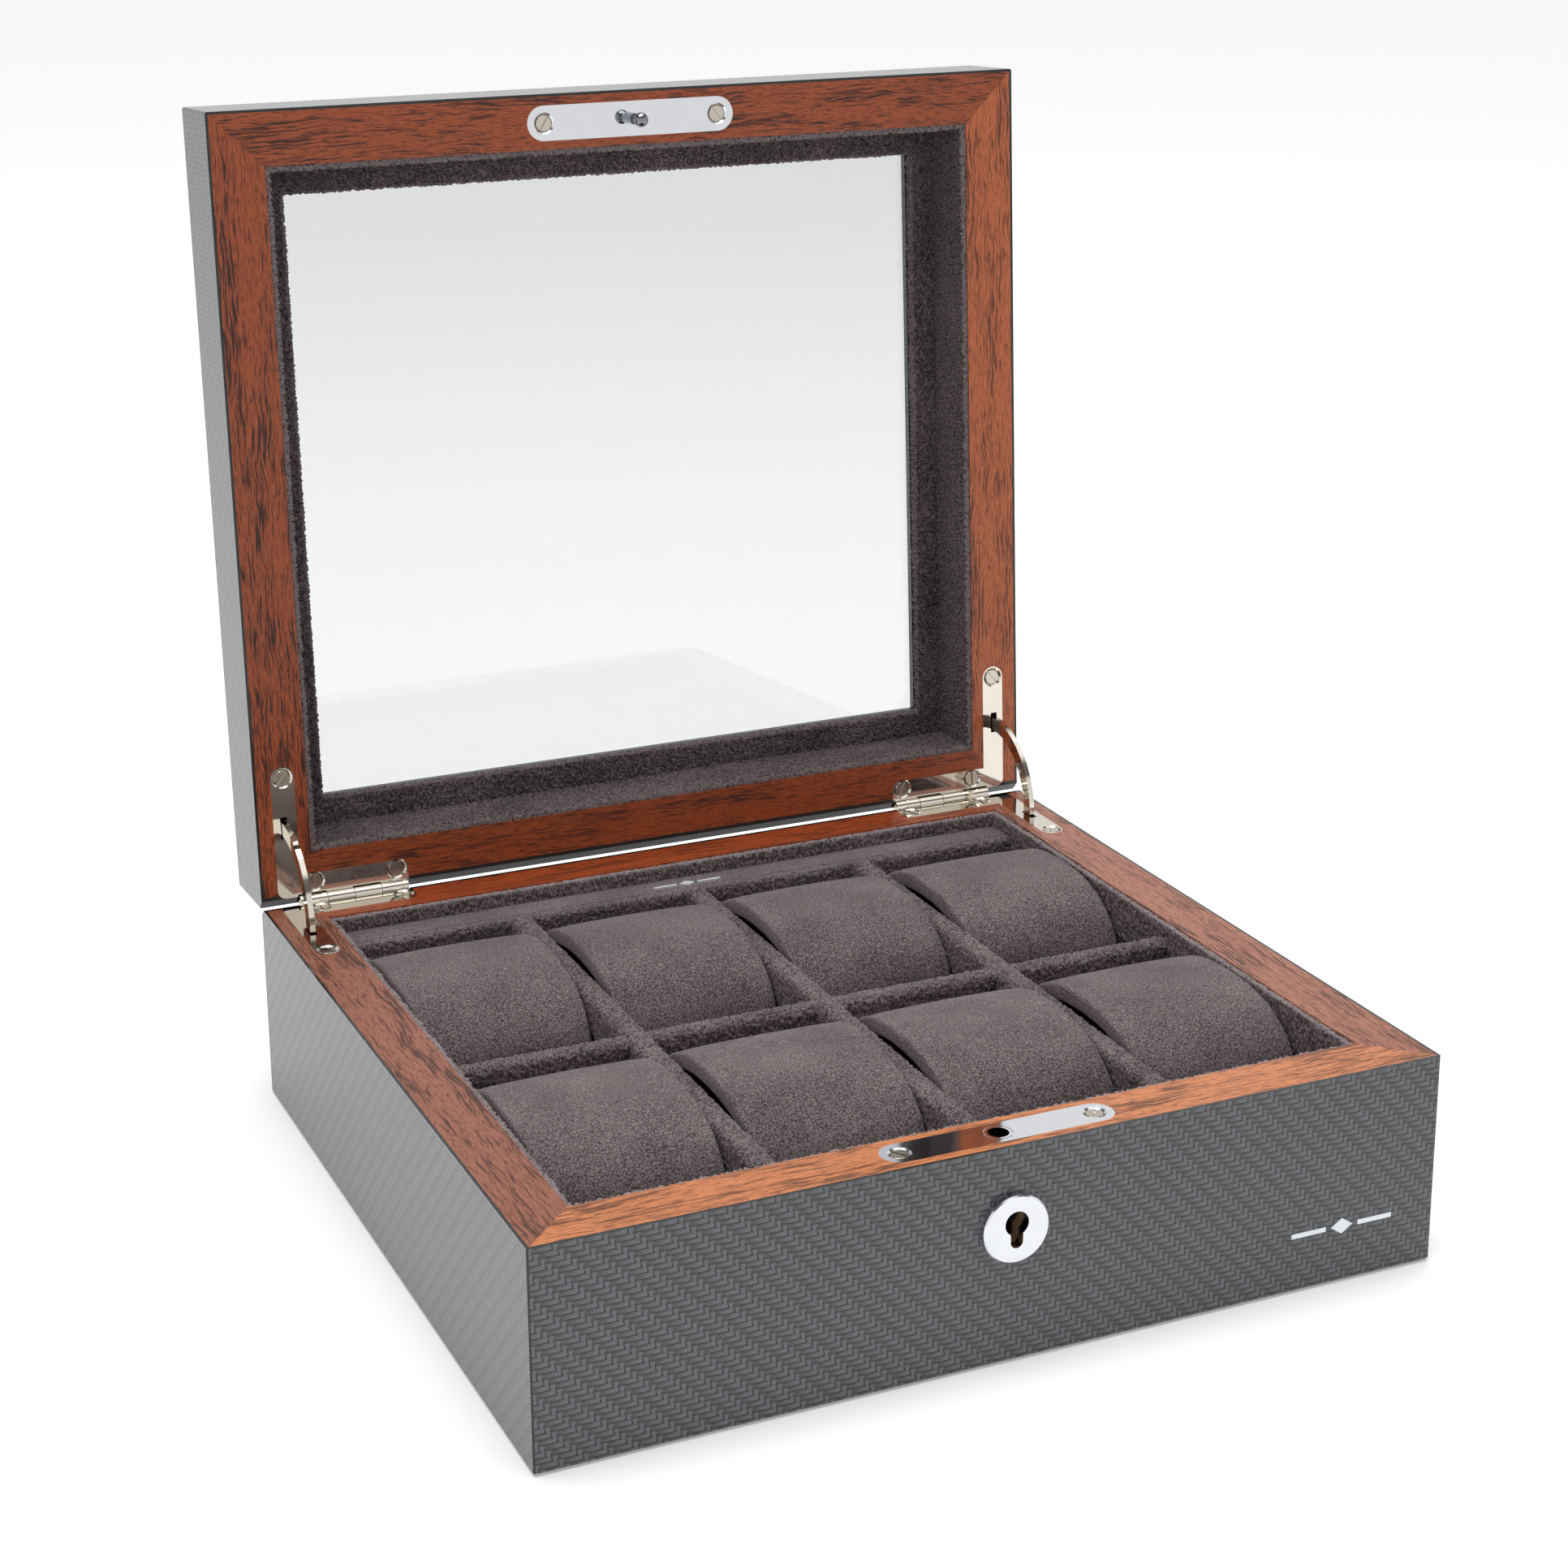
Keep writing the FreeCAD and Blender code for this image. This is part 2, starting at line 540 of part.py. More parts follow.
def cuff_outline(x, y, z, shrink):
    """A smooth closed outline, flatter than an ellipse, square to X."""
    across = CUSHION_LENGTH / 2 - shrink
    up = CUSHION_HEIGHT / 2 - shrink
    points = []
    for step in range(OUTLINE_POINTS):
        turn = 2 * math.pi * step / OUTLINE_POINTS
        c, s = math.cos(turn), math.sin(turn)
        dy = math.copysign(abs(c) ** (2 / CUSHION_POWER), c) * across
        dz = math.copysign(abs(s) ** (2 / CUSHION_POWER), s) * up
        points.append(FreeCAD.Vector(x, y + dy, z + dz))
    curve = Part.BSplineCurve()
    curve.interpolate(points, PeriodicFlag=True)
    return Part.Face(Part.Wire(curve.toShape()))


def cushion(x, y):
    """A hollow cuff for one watch, open along its underside."""
    x0 = x - CUSHION_WIDTH / 2
    mouth_share = 2 * CUSHION_MOUTH / CUSHION_LENGTH
    foot = CUSHION_HEIGHT / 2 * (1 - mouth_share ** CUSHION_POWER) ** (1 / CUSHION_POWER)
    z = FLOOR_TOP + CUSHION_FLOOR_GAP + foot
    along = FreeCAD.Vector(CUSHION_WIDTH, 0, 0)
    outer = cuff_outline(x0, y, z, 0).extrude(along)
    inner = cuff_outline(x0, y, z, CUSHION_WALL).extrude(along)
    mouth = box(x0 - 1, x0 + CUSHION_WIDTH + 1, y - CUSHION_MOUTH, y + CUSHION_MOUTH, 0, z)
    return outer.cut(inner).cut(mouth)


def emblem(width, height):
    """A lozenge between two short bars, flat on the plane z = 0, centred."""
    bar = width * EMBLEM_BAR
    thin = height * EMBLEM_BAR_HEIGHT
    point = height * EMBLEM_LOZENGE
    up = FreeCAD.Vector(0, 0, EMBLEM_LIFT)
    lozenge = prism([(-point, 0, 0), (0, -height / 2, 0), (point, 0, 0), (0, height / 2, 0)], up)
    left = box(-width / 2, -width / 2 + bar, -thin / 2, thin / 2, 0, EMBLEM_LIFT)
    return Part.makeCompound([left, lozenge, mirrored(left)])


def build_base():
    """Everything that stays on the table."""
    rim = BASE_HEIGHT
    low = PAD_THICKNESS
    core = shell_block(LAMINATE, low, rim, True)
    inner = RIM_WIDTH
    core = core.cut(box(-HALF_W + inner, HALF_W - inner, -HALF_D + inner, HALF_D - inner, 0, FAR))
    rebate = RIM_WIDTH / 2
    bottom = box(-HALF_W + rebate, HALF_W - rebate, -HALF_D + rebate, HALF_D - rebate,
                 low, low + BOTTOM_THICKNESS)
    hinge = hinge_recess(LOWER_BACK_ARM, rim, -1)
    case_x, case_y = CASE_LENGTH / 2 + CASE_GAP, CASE_WIDTH / 2 + CASE_GAP
    case_room = box(-case_x, case_x, PLATE_Y - case_y, PLATE_Y + case_y,
                    rim - PLATE_THICKNESS - CASE_DEPTH - CASE_GAP, rim)
    rooms = joined([hinge, mirrored(hinge)]).fuse(plate_recess(rim, -1)).fuse(case_room)
    rooms = rooms.fuse(key_opening(-HALF_D - 1, PLATE_Y))
    core = core.cut(rooms).cut(bottom)
    above = box(-FAR, FAR, -FAR, FAR, rim - RAIL_THICKNESS, rim + 1)
    for side in ("front", "back", "left", "right"):
        wedge = side_wedge(side)
        save("base_" + side + "_wall", core.common(wedge).cut(above))
        save("base_" + side + "_rim", core.common(wedge).common(above))
    save("base_laminate", laminate_skin(low, rim, True).cut(rooms))
    save("base_bottom", bottom)
    save("underside_felt", box(-HALF_W + PAD_INSET, HALF_W - PAD_INSET, -HALF_D + PAD_INSET,
                               HALF_D - PAD_INSET, 0, PAD_THICKNESS))
    floor_x, floor_y = HALF_W - RIM_WIDTH, HALF_D - RIM_WIDTH
    save("tray_floor", box(-floor_x, floor_x, -floor_y, floor_y,
                           low + BOTTOM_THICKNESS, FLOOR_TOP))
    save("base_lining", open_frame(RIM_WIDTH, LINING, FLOOR_TOP, rim - LINING_DROP))
    save("back_ledge", box(-INSIDE_X, INSIDE_X, LEDGE_FRONT, INSIDE_Y, FLOOR_TOP, LEDGE_TOP))
    save("long_divider", long_divider())
    for number, x in enumerate(column_joints(), 1):
        save("cross_divider_%d" % number, cross_divider(x))
    mark = emblem(*LEDGE_EMBLEM)
    mark.translate(FreeCAD.Vector(0, (LEDGE_FRONT + INSIDE_Y) / 2, LEDGE_TOP))
    save("ledge_emblem", mark)
    mark = emblem(*FRONT_EMBLEM)
    mark.rotate(FreeCAD.Vector(0, 0, 0), X_DIR, 90)
    mark.translate(FreeCAD.Vector(EMBLEM_X, -HALF_D, EMBLEM_Z))
    save("front_emblem", mark)
    save("escutcheon", escutcheon())
    save("lock_plate", lock_front_plate())
    save("lock_case", lock_case())
    screws = [screw(x, PLATE_Y, rim, -1)
              for x in (-PLATE_SCREW_PITCH / 2, PLATE_SCREW_PITCH / 2)]
    save("lock_plate_screws", Part.makeCompound(screws))
    leaf = hinge_leaf(LOWER_BACK_ARM, rim, -1, 0)
    pin = barrel(PIN_RADIUS, 0, 1, 0)
    screws = [screw(x, y, rim, -1) for x, y in leaf_screws()]
    save("lower_leaf_left", leaf)
    save("lower_leaf_right", mirrored(leaf))
    save("hinge_pin_left", pin)
    save("hinge_pin_right", mirrored(pin))
    save("base_hinge_screws", Part.makeCompound(screws + [mirrored(item) for item in screws]))


def build_lid():
    """The glazed lid, built shut and turned open."""
    rim = LID_RIM
    top = rim + LID_HEIGHT
    frame_low = rim + TOP_FRAME_START
    core = shell_block(LAMINATE, rim, frame_low, False)
    inner = RIM_WIDTH
    core = core.cut(box(-HALF_W + inner, HALF_W - inner, -HALF_D + inner, HALF_D - inner, 0, FAR))
    hinge = hinge_recess(UPPER_BACK_ARM, rim, 1)
    rooms = joined([hinge, mirrored(hinge)]).fuse(plate_recess(rim, 1))
    rooms = rooms.fuse(rod(PILOT_RADIUS, (0, PLATE_Y, rim), Z_DIR, STUD_TANG + 1))
    core = core.cut(rooms)
    below = box(-FAR, FAR, -FAR, FAR, rim - 1, rim + RAIL_THICKNESS)
    for side in ("front", "back", "left", "right"):
        wedge = side_wedge(side)
        save("lid_" + side + "_wall", opened(core.common(wedge).cut(below)))
        save("lid_" + side + "_rim", opened(core.common(wedge).common(below)))
    save("lid_laminate", opened(laminate_skin(rim, frame_low, False).cut(rooms)))
    frame = box(-HALF_W, HALF_W, -HALF_D, HALF_D, frame_low, top)
    frame = frame.makeChamfer(EDGE_CHAMFER, [edge for edge in frame.Edges
                                             if edge.BoundBox.ZMax > top - 1])
    x, y = HALF_W - WINDOW_INSET, HALF_D - WINDOW_INSET
    save("lid_top_frame", opened(frame.cut(box(-x, x, -y, y, 0, FAR))))
    save("lid_glass_frame", opened(open_frame(RIM_WIDTH, WINDOW_INSET - RIM_WIDTH,
                                              rim + FRAME_HEIGHT, rim + FRAME_TOP)))
    x, y = HALF_W - GLASS_INSET, HALF_D - GLASS_INSET
    save("lid_glass", opened(box(-x, x, -y, y, rim + FRAME_TOP, frame_low)))
    save("lid_lining", opened(open_frame(RIM_WIDTH, LINING, rim + LINING_DROP,
                                         rim + FRAME_HEIGHT)))
    plate = lock_plate(rim, 1).cut(rod(PILOT_RADIUS, (0, PLATE_Y, rim - 1), Z_DIR, 5))
    save("striker_plate", opened(plate))
    save("striker_stud", opened(striker_stud()))
    screws = [screw(x, PLATE_Y, rim, 1)
              for x in (-PLATE_SCREW_PITCH / 2, PLATE_SCREW_PITCH / 2)]
    save("striker_screws", opened(Part.makeCompound(screws)))
    leaf = hinge_leaf(UPPER_BACK_ARM, rim, 1, 1)
    screws = [screw(x, y, rim, 1) for x, y in leaf_screws()]
    save("upper_leaf_left", opened(leaf))
    save("upper_leaf_right", opened(mirrored(leaf)))
    save("lid_hinge_screws", opened(Part.makeCompound(
        screws + [mirrored(item) for item in screws])))


def build_loose_parts():
    """The stay arms, the bolt and the eight cushions, which all move."""
    arm = stay_arm()
    save("stay_arm_left", arm)
    save("stay_arm_right", mirrored(arm))
    save("lock_bolt", lock_bolt())
    back_limits = (LONG_DIVIDER_Y - DIVIDER_THICKNESS / 2, LEDGE_FRONT)
    number = 0
    for limit in back_limits:
        y = limit - CUSHION_BACK_GAP - CUSHION_LENGTH / 2
        for x in column_centres():
            number += 1
            save("cushion_%d" % number, cushion(x, y))


os.makedirs("parts", exist_ok=True)
build_base()
build_lid()
build_loose_parts()
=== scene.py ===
"""Looks for an open eight-place watch box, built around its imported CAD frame.

The suede linings, ledge, dividers, tray floor and padded cuffs, and the felt underneath,
are modelled here.  The wood, woven lacquer, metal and glass parts keep their CAD shapes and
get their finishes here.
"""

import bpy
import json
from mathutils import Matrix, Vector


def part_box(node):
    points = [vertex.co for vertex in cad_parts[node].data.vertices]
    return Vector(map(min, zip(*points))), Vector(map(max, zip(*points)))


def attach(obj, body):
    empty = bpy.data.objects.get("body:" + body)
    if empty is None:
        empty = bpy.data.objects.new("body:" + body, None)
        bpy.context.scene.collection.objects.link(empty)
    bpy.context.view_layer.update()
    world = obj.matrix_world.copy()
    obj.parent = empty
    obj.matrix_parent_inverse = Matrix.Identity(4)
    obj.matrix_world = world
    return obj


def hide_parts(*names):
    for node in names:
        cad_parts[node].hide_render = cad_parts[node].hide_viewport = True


bl_info = {
    "name": "Watch Box Finishes",
    "version": (1, 0, 0),
    "blender": (4, 5, 0),
    "location": "3D View > Sidebar > Watch Box",
    "description": "Suede, woven lacquer, figured wood and bright metal for a watch box",
    "category": "Object",
}

import json
import math

import bmesh
import bpy
from mathutils import Matrix, Vector, noise

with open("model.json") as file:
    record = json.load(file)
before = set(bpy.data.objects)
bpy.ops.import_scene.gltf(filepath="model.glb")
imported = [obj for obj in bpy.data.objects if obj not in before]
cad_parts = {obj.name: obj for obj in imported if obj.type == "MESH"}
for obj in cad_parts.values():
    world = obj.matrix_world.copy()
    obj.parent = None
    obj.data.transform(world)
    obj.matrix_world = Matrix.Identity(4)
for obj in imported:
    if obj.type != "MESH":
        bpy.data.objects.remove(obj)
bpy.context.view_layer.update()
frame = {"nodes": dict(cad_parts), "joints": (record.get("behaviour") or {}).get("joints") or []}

MM = 0.001
MERGE = 0.005 * MM              # points closer than this become one
GRID_SHARE = 0.85               # spacing of the pile's points, as a share of a tuft
PILE_MARGIN = 0.2 * MM          # the pile starts this far from a lining's outer face
LIP_GAP = 0.15 * MM             # how far a lip's pile stops short of its board's CAD end
# past 1, a lip's share also paints it paler: a painted highlight along the rounded edge
BASE_LIP_PILE = 1.25            # length of the pile on each lip, 1 being the pile below it
LID_LIP_PILE = 1.3
WINDOW_LIP_PILE = 1.2
BASE_PILE_DEPTH = 14 * MM       # how far down each part carries raised pile
DIVIDER_PILE_DEPTH = 11.5 * MM
LEDGE_PILE_DEPTH = 13 * MM
STRIP_PILE = 0.45               # length of the pile on the ledge's front strip
DIVIDER_FINE_DEPTH = 12 * MM    # how far down a divider's sides are cut finely
BASE_FINE_DEPTH = 15 * MM       # how far down the base's lining and the ledge are cut finely
LEDGE_FINE_DEPTH = 14 * MM
WINDOW_FRAME = 10.8 * MM        # width of the glass frame, from the lid's wood to the opening
CROSS_FULLNESS = 0.4 * MM       # added to a cross divider's sides, and twice to its top
CROSS_ROUND = 1.6 * MM          # rounding along the top of the dividers
LONG_ROUND = 1.9 * MM
CROSS_END_GAP = 0.3 * MM        # how far a cross divider's suede stops short of its board
LONG_END_GAP = 0.4 * MM         # from a wall or a cross divider's board to the long one's suede
LEDGE_EDGE = 1.4 * MM           # rounding of the ledge's front edge
LEDGE_SEAM = 3.4 * MM           # seam behind the ledge's front strip, its half width and depth
SEAM_HALF = 0.5 * MM
SEAM_DEPTH = 0.6 * MM
CUFFS = 8
CUFF_CUTS = (22, 88)            # faces along a cuff and round it, before it is rounded
WELT_BAND = (0.88, 0.96)        # where the sewn line lies, as a share of a cuff's half width
WANDER_ACROSS = 0.006           # most that a cuff's outline wanders in, as a share of it
WANDER_UP = 0.008
WANDER_ENDS = 0.25 * MM         # how far a cuff's ends wander in, on average
FLOOR_REACH = 6.0               # half width of the paper floor, in metres
PAPER_GLOW = 0.2                # light that the paper gives off, which keeps it white
# lamps: name, place, width and power in watts; all face one point
LAMPS = (("key", (-0.35, -0.1, 1.8), 0.9, 10.0), ("top", (0.4, 0.4, 1.9), 1.2, 9.0))
AIM = Vector((0.0, 0.0, 0.1))
# room: height, from 0 at the horizon to 1 overhead, and brightness; a white sweep up to
# about 29 degrees, darker walls above it and a bright ceiling
ROOM_BANDS = ((0.0, 0.95), (0.48, 0.95), (0.55, 0.15), (0.74, 0.2), (0.84, 1.3))
CAMERA_PIVOT = Vector((0.0, -0.02865, 0.0855))      # the point that the camera turns about
LID_HINGE = next(joint for joint in frame["joints"] if joint["name"] == "lid_hinge")
OPEN_ANGLE = math.radians(-LID_HINGE["range_deg"][0])
HINGE_POINT = Vector(LID_HINGE["pos_m"])
TO_OPEN = (Matrix.Translation(HINGE_POINT) @ Matrix.Rotation(-OPEN_ANGLE, 4, "X")
           @ Matrix.Translation(-HINGE_POINT))


def tone(code):
    """A linear colour from an sRGB hex value such as 5d5759."""
    parts = [int(code[at:at + 2], 16) / 255 for at in (0, 2, 4)]
    return tuple(part / 12.92 if part <= 0.04045 else ((part + 0.055) / 1.055) ** 2.4
                 for part in parts)


def colour_property(name, description, code):
    """A colour that a user may change."""
    return bpy.props.FloatVectorProperty(name=name, description=description, subtype="COLOR",
                                         size=3, min=0.0, max=1.0, default=tone(code))


def length_property(name, description, default):
    """A length that a user may change, given in millimetres."""
    return bpy.props.FloatProperty(name=name, description=description, subtype="DISTANCE",
                                   unit="LENGTH", precision=5, min=0.0, default=default * MM)


# ---- settings -------------------------------------------------------------------
class SuedeSettings(bpy.types.PropertyGroup):
    shade: colour_property("Shade", "Suede between the raised fibres", "2b2627")
    body: colour_property("Body", "Suede seen straight on", "5b5152")
    tip: colour_property("Tips", "Fibre tips that catch the light", "8b7f80")
    pile: length_property("Pile", "How far the pile stands off a lining", 0.85)
    tuft: length_property("Tuft", "Width of a tuft of pile", 0.62)
    edge: length_property("Edge", "Rounding of a covered board's edges", 0.6)


class CuffSettings(bpy.types.PropertyGroup):
    wall: length_property("Wall", "Thickness of a cuff's padding", 6.0)
    height: length_property("Height", "Height of the whole rounded outline", 55.7)
    mouth: length_property("Mouth", "Half width of the gap under a cuff", 15.0)
    roll: length_property("Roll", "Rounding where the suede turns over an end", 0.95)
    crown: length_property("Crown", "How much fuller a cuff is in its middle", 0.45)
    welt: length_property("Welt", "Depth of the sewn line beside each end", 0.2)
    power: bpy.props.FloatProperty(name="Outline", description="2 is an ellipse, more is squarer",
                                   default=2.4, min=2.0, max=4.0)


class LacquerSettings(bpy.types.PropertyGroup):
    thread: length_property("Thread", "Spacing of the woven threads", 1.76)
    gap: colour_property("Gap", "Dark line between threads", "060607")
    low: colour_property("Low", "Shaded side of a thread", "3d3e40")
    high: colour_property("High", "Lit side of a thread", "5c5d61")
    edge: colour_property("Edge", "Cut edge of the laminate", "131514")


class WoodSettings(bpy.types.PropertyGroup):
    streak: colour_property("Streak", "Dark figure in the wood", "240c08")
    # the lid's rails are painted darker than the base's: partly the wood's tone, partly painted
    # shade on the upright lid
    heart: colour_property("Heart", "Body of three of the lid's rails", "7e3212")
    glow: colour_property("Glow", "Bright fibres of those rails", "9b4c22")
    board: colour_property("Board", "Fibreboard core", "a07c56")


class MetalSettings(bpy.types.PropertyGroup):
    nickel: colour_property("Nickel", "Polished nickel of the hinges", "dcd5c9")
    screw: colour_property("Screw", "Nickel of the screw heads", "c6beb1")
    # painted reflection: the stud's chrome is darker than the lock's so that the ball reads dark
    stud: colour_property("Stud", "Chrome of the turned ball stud", "85888d")
    chrome: colour_property("Chrome", "Chrome of the lock", "dee0e4")
    steel: colour_property("Steel", "Plain steel inside the lock", "8c8c8a")
    foil: colour_property("Foil", "Pressed foil of the marks", "e8ecef")


class StageSettings(bpy.types.PropertyGroup):
    floor: colour_property("Floor", "Paper that the box stands on", "f4f4f4")
    lens: bpy.props.FloatProperty(name="Lens", description="Focal length in millimetres",
                                  default=69.54, min=10.0)
    azimuth: bpy.props.FloatProperty(name="Azimuth", description="Turn of the camera",
                                     subtype="ANGLE", default=math.radians(-24.161))
    elevation: bpy.props.FloatProperty(name="Elevation", description="Camera above the horizon",
                                       subtype="ANGLE", default=math.radians(16.917))
    roll: bpy.props.FloatProperty(name="Roll", description="Tilt of the horizon",
                                  subtype="ANGLE", default=math.radians(-0.294))
    distance: length_property("Distance", "Camera from the point it looks at", 919.7)
    raised: length_property("Raised", "Point looked at, above the camera's pivot", 89.775)
    aside: length_property("Aside", "Point looked at, left of the camera's pivot", 21.375)
    lift: bpy.props.FloatProperty(name="Lens rise", description="Camera shift, up is positive",
                                  default=-0.08, min=-0.5, max=0.5)


SETTINGS = {"suede": SuedeSettings, "cuff": CuffSettings, "lacquer": LacquerSettings,
            "wood": WoodSettings, "metal": MetalSettings, "stage": StageSettings}


def settings(kind):
    """One group of the scene's watch box settings."""
    return getattr(bpy.context.scene, "watch_box_" + kind)


def rgba(colour):
    """A settings colour with full alpha."""
    return (*colour, 1.0)


# ---- materials ------------------------------------------------------------------
def add(tree, kind, inputs=None, stops=(), **choices):
    """Adds a shader node with its choices, ramp stops, and input values or links."""
    made = tree.nodes.new("ShaderNode" + kind)
    for key, value in choices.items():
        setattr(made, key, value)
    for index, (place, colour) in enumerate(stops):
        elements = made.color_ramp.elements
        element = elements[index] if index < 2 else elements.new(place)
        element.position = place
        element.color = colour
    for key, value in (inputs or {}).items():
        if isinstance(value, bpy.types.Node):
            value = value.outputs[0]
        if isinstance(value, bpy.types.NodeSocket):
            tree.links.new(value, made.inputs[key])
        else:
            made.inputs[key].default_value = value
    return made


def start_material(name, **numbers):
    """A material with one Principled shader, its tree and that shader."""
    made = bpy.data.materials.new(name)
    made.use_nodes = True
    tree = made.node_tree
    shader = tree.nodes["Principled BSDF"]
    for key, value in numbers.items():
        shader.inputs[key.replace("_", " ")].default_value = value
    return made, tree, shader


def suede_material(name, grain, depth, seed, tufted, sheen, light=1.0):
    """Microfibre suede, brushed: a matt nap whose fibre tips catch light at a glance.

    The fibres are about 0.1 mm and are drawn as tufts of the grain size, so they show.
    A tufted suede is painted paler where its pile stands high, with painted shade at the roots
    and a painted highlight on the tips and lips, and light scales all its colours down for a
    shaded copy."""
    colours = settings("suede")
    made, tree, shader = start_material(name, Roughness=0.95, Specular_IOR_Level=0.15,
                                        Sheen_Weight=sheen, Sheen_Roughness=0.4,
                                        Sheen_Tint=rgba(tone("cbbcbe")))
    place = add(tree, "TexCoord")
    at = add(tree, "Mapping", {0: place.outputs["Object"], 1: (seed, seed * 0.7, 0)})
    nap = add(tree, "TexNoise", {0: at, "Scale": 1 / grain, "Detail": 3.0, "Roughness": 0.7})
    brushed = add(tree, "TexNoise", {0: at, "Scale": 1 / (22 * MM), "Detail": 2.0})
    lift = add(tree, "MapRange", {0: brushed, 3: 0.08, 4: 0.22})
    level = add(tree, "Math", {0: nap, 1: lift}, operation="ADD")
    # painted light: the higher the pile stands, the paler the suede; painted shade at the roots,
    # a painted highlight on the tips and on the long pile of the lips
    if tufted:
        stands = add(tree, "Attribute", attribute_name="pile")
        stands = add(tree, "MapRange", {0: stands.outputs["Fac"], 2: 1.5, 3: -0.1, 4: 0.2})
        level = add(tree, "Math", {0: level, 1: stands}, operation="ADD")
    # painted shade: a light below 1 darkens every colour, making a shaded copy of the suede
    shade, body, tip = (tuple(part * light for part in colour)
                        for colour in (colours.shade, colours.body, colours.tip))
    paint = add(tree, "ValToRGB", {0: level}, stops=[
        (0.51, rgba(shade)), (0.64, rgba(body)), (0.77, rgba(tip))])
    rise = add(tree, "Bump", {"Height": nap, "Strength": 0.8, "Distance": depth})
    tree.links.new(paint.outputs[0], shader.inputs["Base Color"])
    tree.links.new(rise.outputs[0], shader.inputs["Normal"])
    return made


def woven_material(name, turn, edge_axis, depth):
    """Lacquered woven-fibre laminate: a four-end twill of flat tapes under clear satin lacquer.

    Each row floats over three columns and dives under one, one column later per row.
    The depth says how strongly the weave is drawn, from 0 to 1; a low depth flattens it toward an
    even grey, painted in place of the glare that hides the weave."""
    look = settings("lacquer")
    made, tree, shader = start_material(name, Roughness=0.5, Specular_IOR_Level=0.2,
                                        Coat_Weight=0.65, Coat_Roughness=0.14)
    place = add(tree, "TexCoord")
    at = add(tree, "Mapping", {0: place.outputs["Object"], 2: (turn, 0, 0)})
    facing = add(tree, "Mapping", {0: place.outputs["Normal"], 2: (turn, 0, 0)},
                 vector_type="VECTOR")
    facing = add(tree, "VectorMath", {0: facing}, operation="ABSOLUTE")
    x, y, z = add(tree, "SeparateXYZ", {0: at}).outputs
    faces = add(tree, "SeparateXYZ", {0: facing}).outputs
    side = add(tree, "Math", {0: faces[0], 1: 0.5}, operation="GREATER_THAN")
    level = add(tree, "Math", {0: faces[2], 1: 0.5}, operation="GREATER_THAN")
    across = add(tree, "Mix", {0: side, 2: x, 3: y})
    along = add(tree, "Mix", {0: level, 2: z, 3: y})
    cells = []
    for source in (across, along):
        scaled = add(tree, "Math", {0: source, 1: 1 / look.thread}, operation="MULTIPLY")
        cells.append((add(tree, "Math", {0: scaled}, operation="FLOOR"),
                      add(tree, "Math", {0: scaled}, operation="FRACT")))
    (column, in_column), (row, in_row) = cells
    count = add(tree, "Math", {0: column, 1: row}, operation="ADD")
    step = add(tree, "Math", {0: count, 1: 4.0}, operation="FLOORED_MODULO")
    over = add(tree, "Math", {0: step, 1: 0.5}, operation="LESS_THAN")
    run = add(tree, "Math", {0: step, 1: in_column}, operation="ADD")
    # weft: a tape over three columns, with painted shade at its left end, a painted highlight
    # growing toward its right end and painted shade along its upper edge, and a dark line under
    # and after it
    weft_shade_to_highlight = add(tree, "MapRange", {0: run, 1: 1.0, 2: 3.4, 3: 0.6, 4: 1.0},
                    interpolation_type="SMOOTHSTEP")
    weft_low = add(tree, "MapRange", {0: in_row, 1: 0.05, 2: 0.26, 3: -0.1, 4: 1.0},
                   interpolation_type="SMOOTHSTEP")
    weft_top_shade = add(tree, "MapRange", {0: in_row, 1: 0.7, 2: 1.0, 3: 1.0, 4: 0.72})
    weft_end = add(tree, "MapRange", {0: run, 1: 3.78, 2: 3.96, 3: 1.0, 4: 0.25},
                   interpolation_type="SMOOTHSTEP")
    weft = add(tree, "Math", {0: weft_shade_to_highlight, 1: weft_low}, operation="MULTIPLY")
    weft = add(tree, "Math", {0: weft, 1: weft_top_shade}, operation="MULTIPLY")
    weft = add(tree, "Math", {0: weft, 1: weft_end}, operation="MULTIPLY")
    # warp: one tape between two wefts, wide at its top and narrow at its foot
    middle = add(tree, "Math", {0: in_column, 1: 0.5}, operation="SUBTRACT")
    middle = add(tree, "Math", {0: middle}, operation="ABSOLUTE")
    waist = add(tree, "MapRange", {0: in_row, 1: 0.0, 2: 1.0, 3: 0.26, 4: 0.5})
    inside = add(tree, "Math", {0: waist, 1: middle}, operation="SUBTRACT")
    warp = add(tree, "MapRange", {0: inside, 1: -0.08, 2: 0.1, 3: 0.25, 4: 0.95},
               interpolation_type="SMOOTHSTEP")
    thread = add(tree, "Mix", {0: over, 2: weft, 3: warp})
    thread = add(tree, "Mix", {0: depth, 2: 0.7, 3: thread})
    speck = add(tree, "TexNoise", {0: at, "Scale": 1 / (0.5 * MM), "Detail": 2.0})
    shift = add(tree, "MapRange", {0: speck, 1: 0.2, 2: 0.8, 3: -0.12 * depth, 4: 0.12 * depth})
    height = add(tree, "Math", {0: thread, 1: shift}, operation="ADD")
    paint = add(tree, "ValToRGB", {0: height}, stops=[
        (0.1, rgba(look.gap)), (0.55, rgba(look.low)), (1.0, rgba(look.high))])
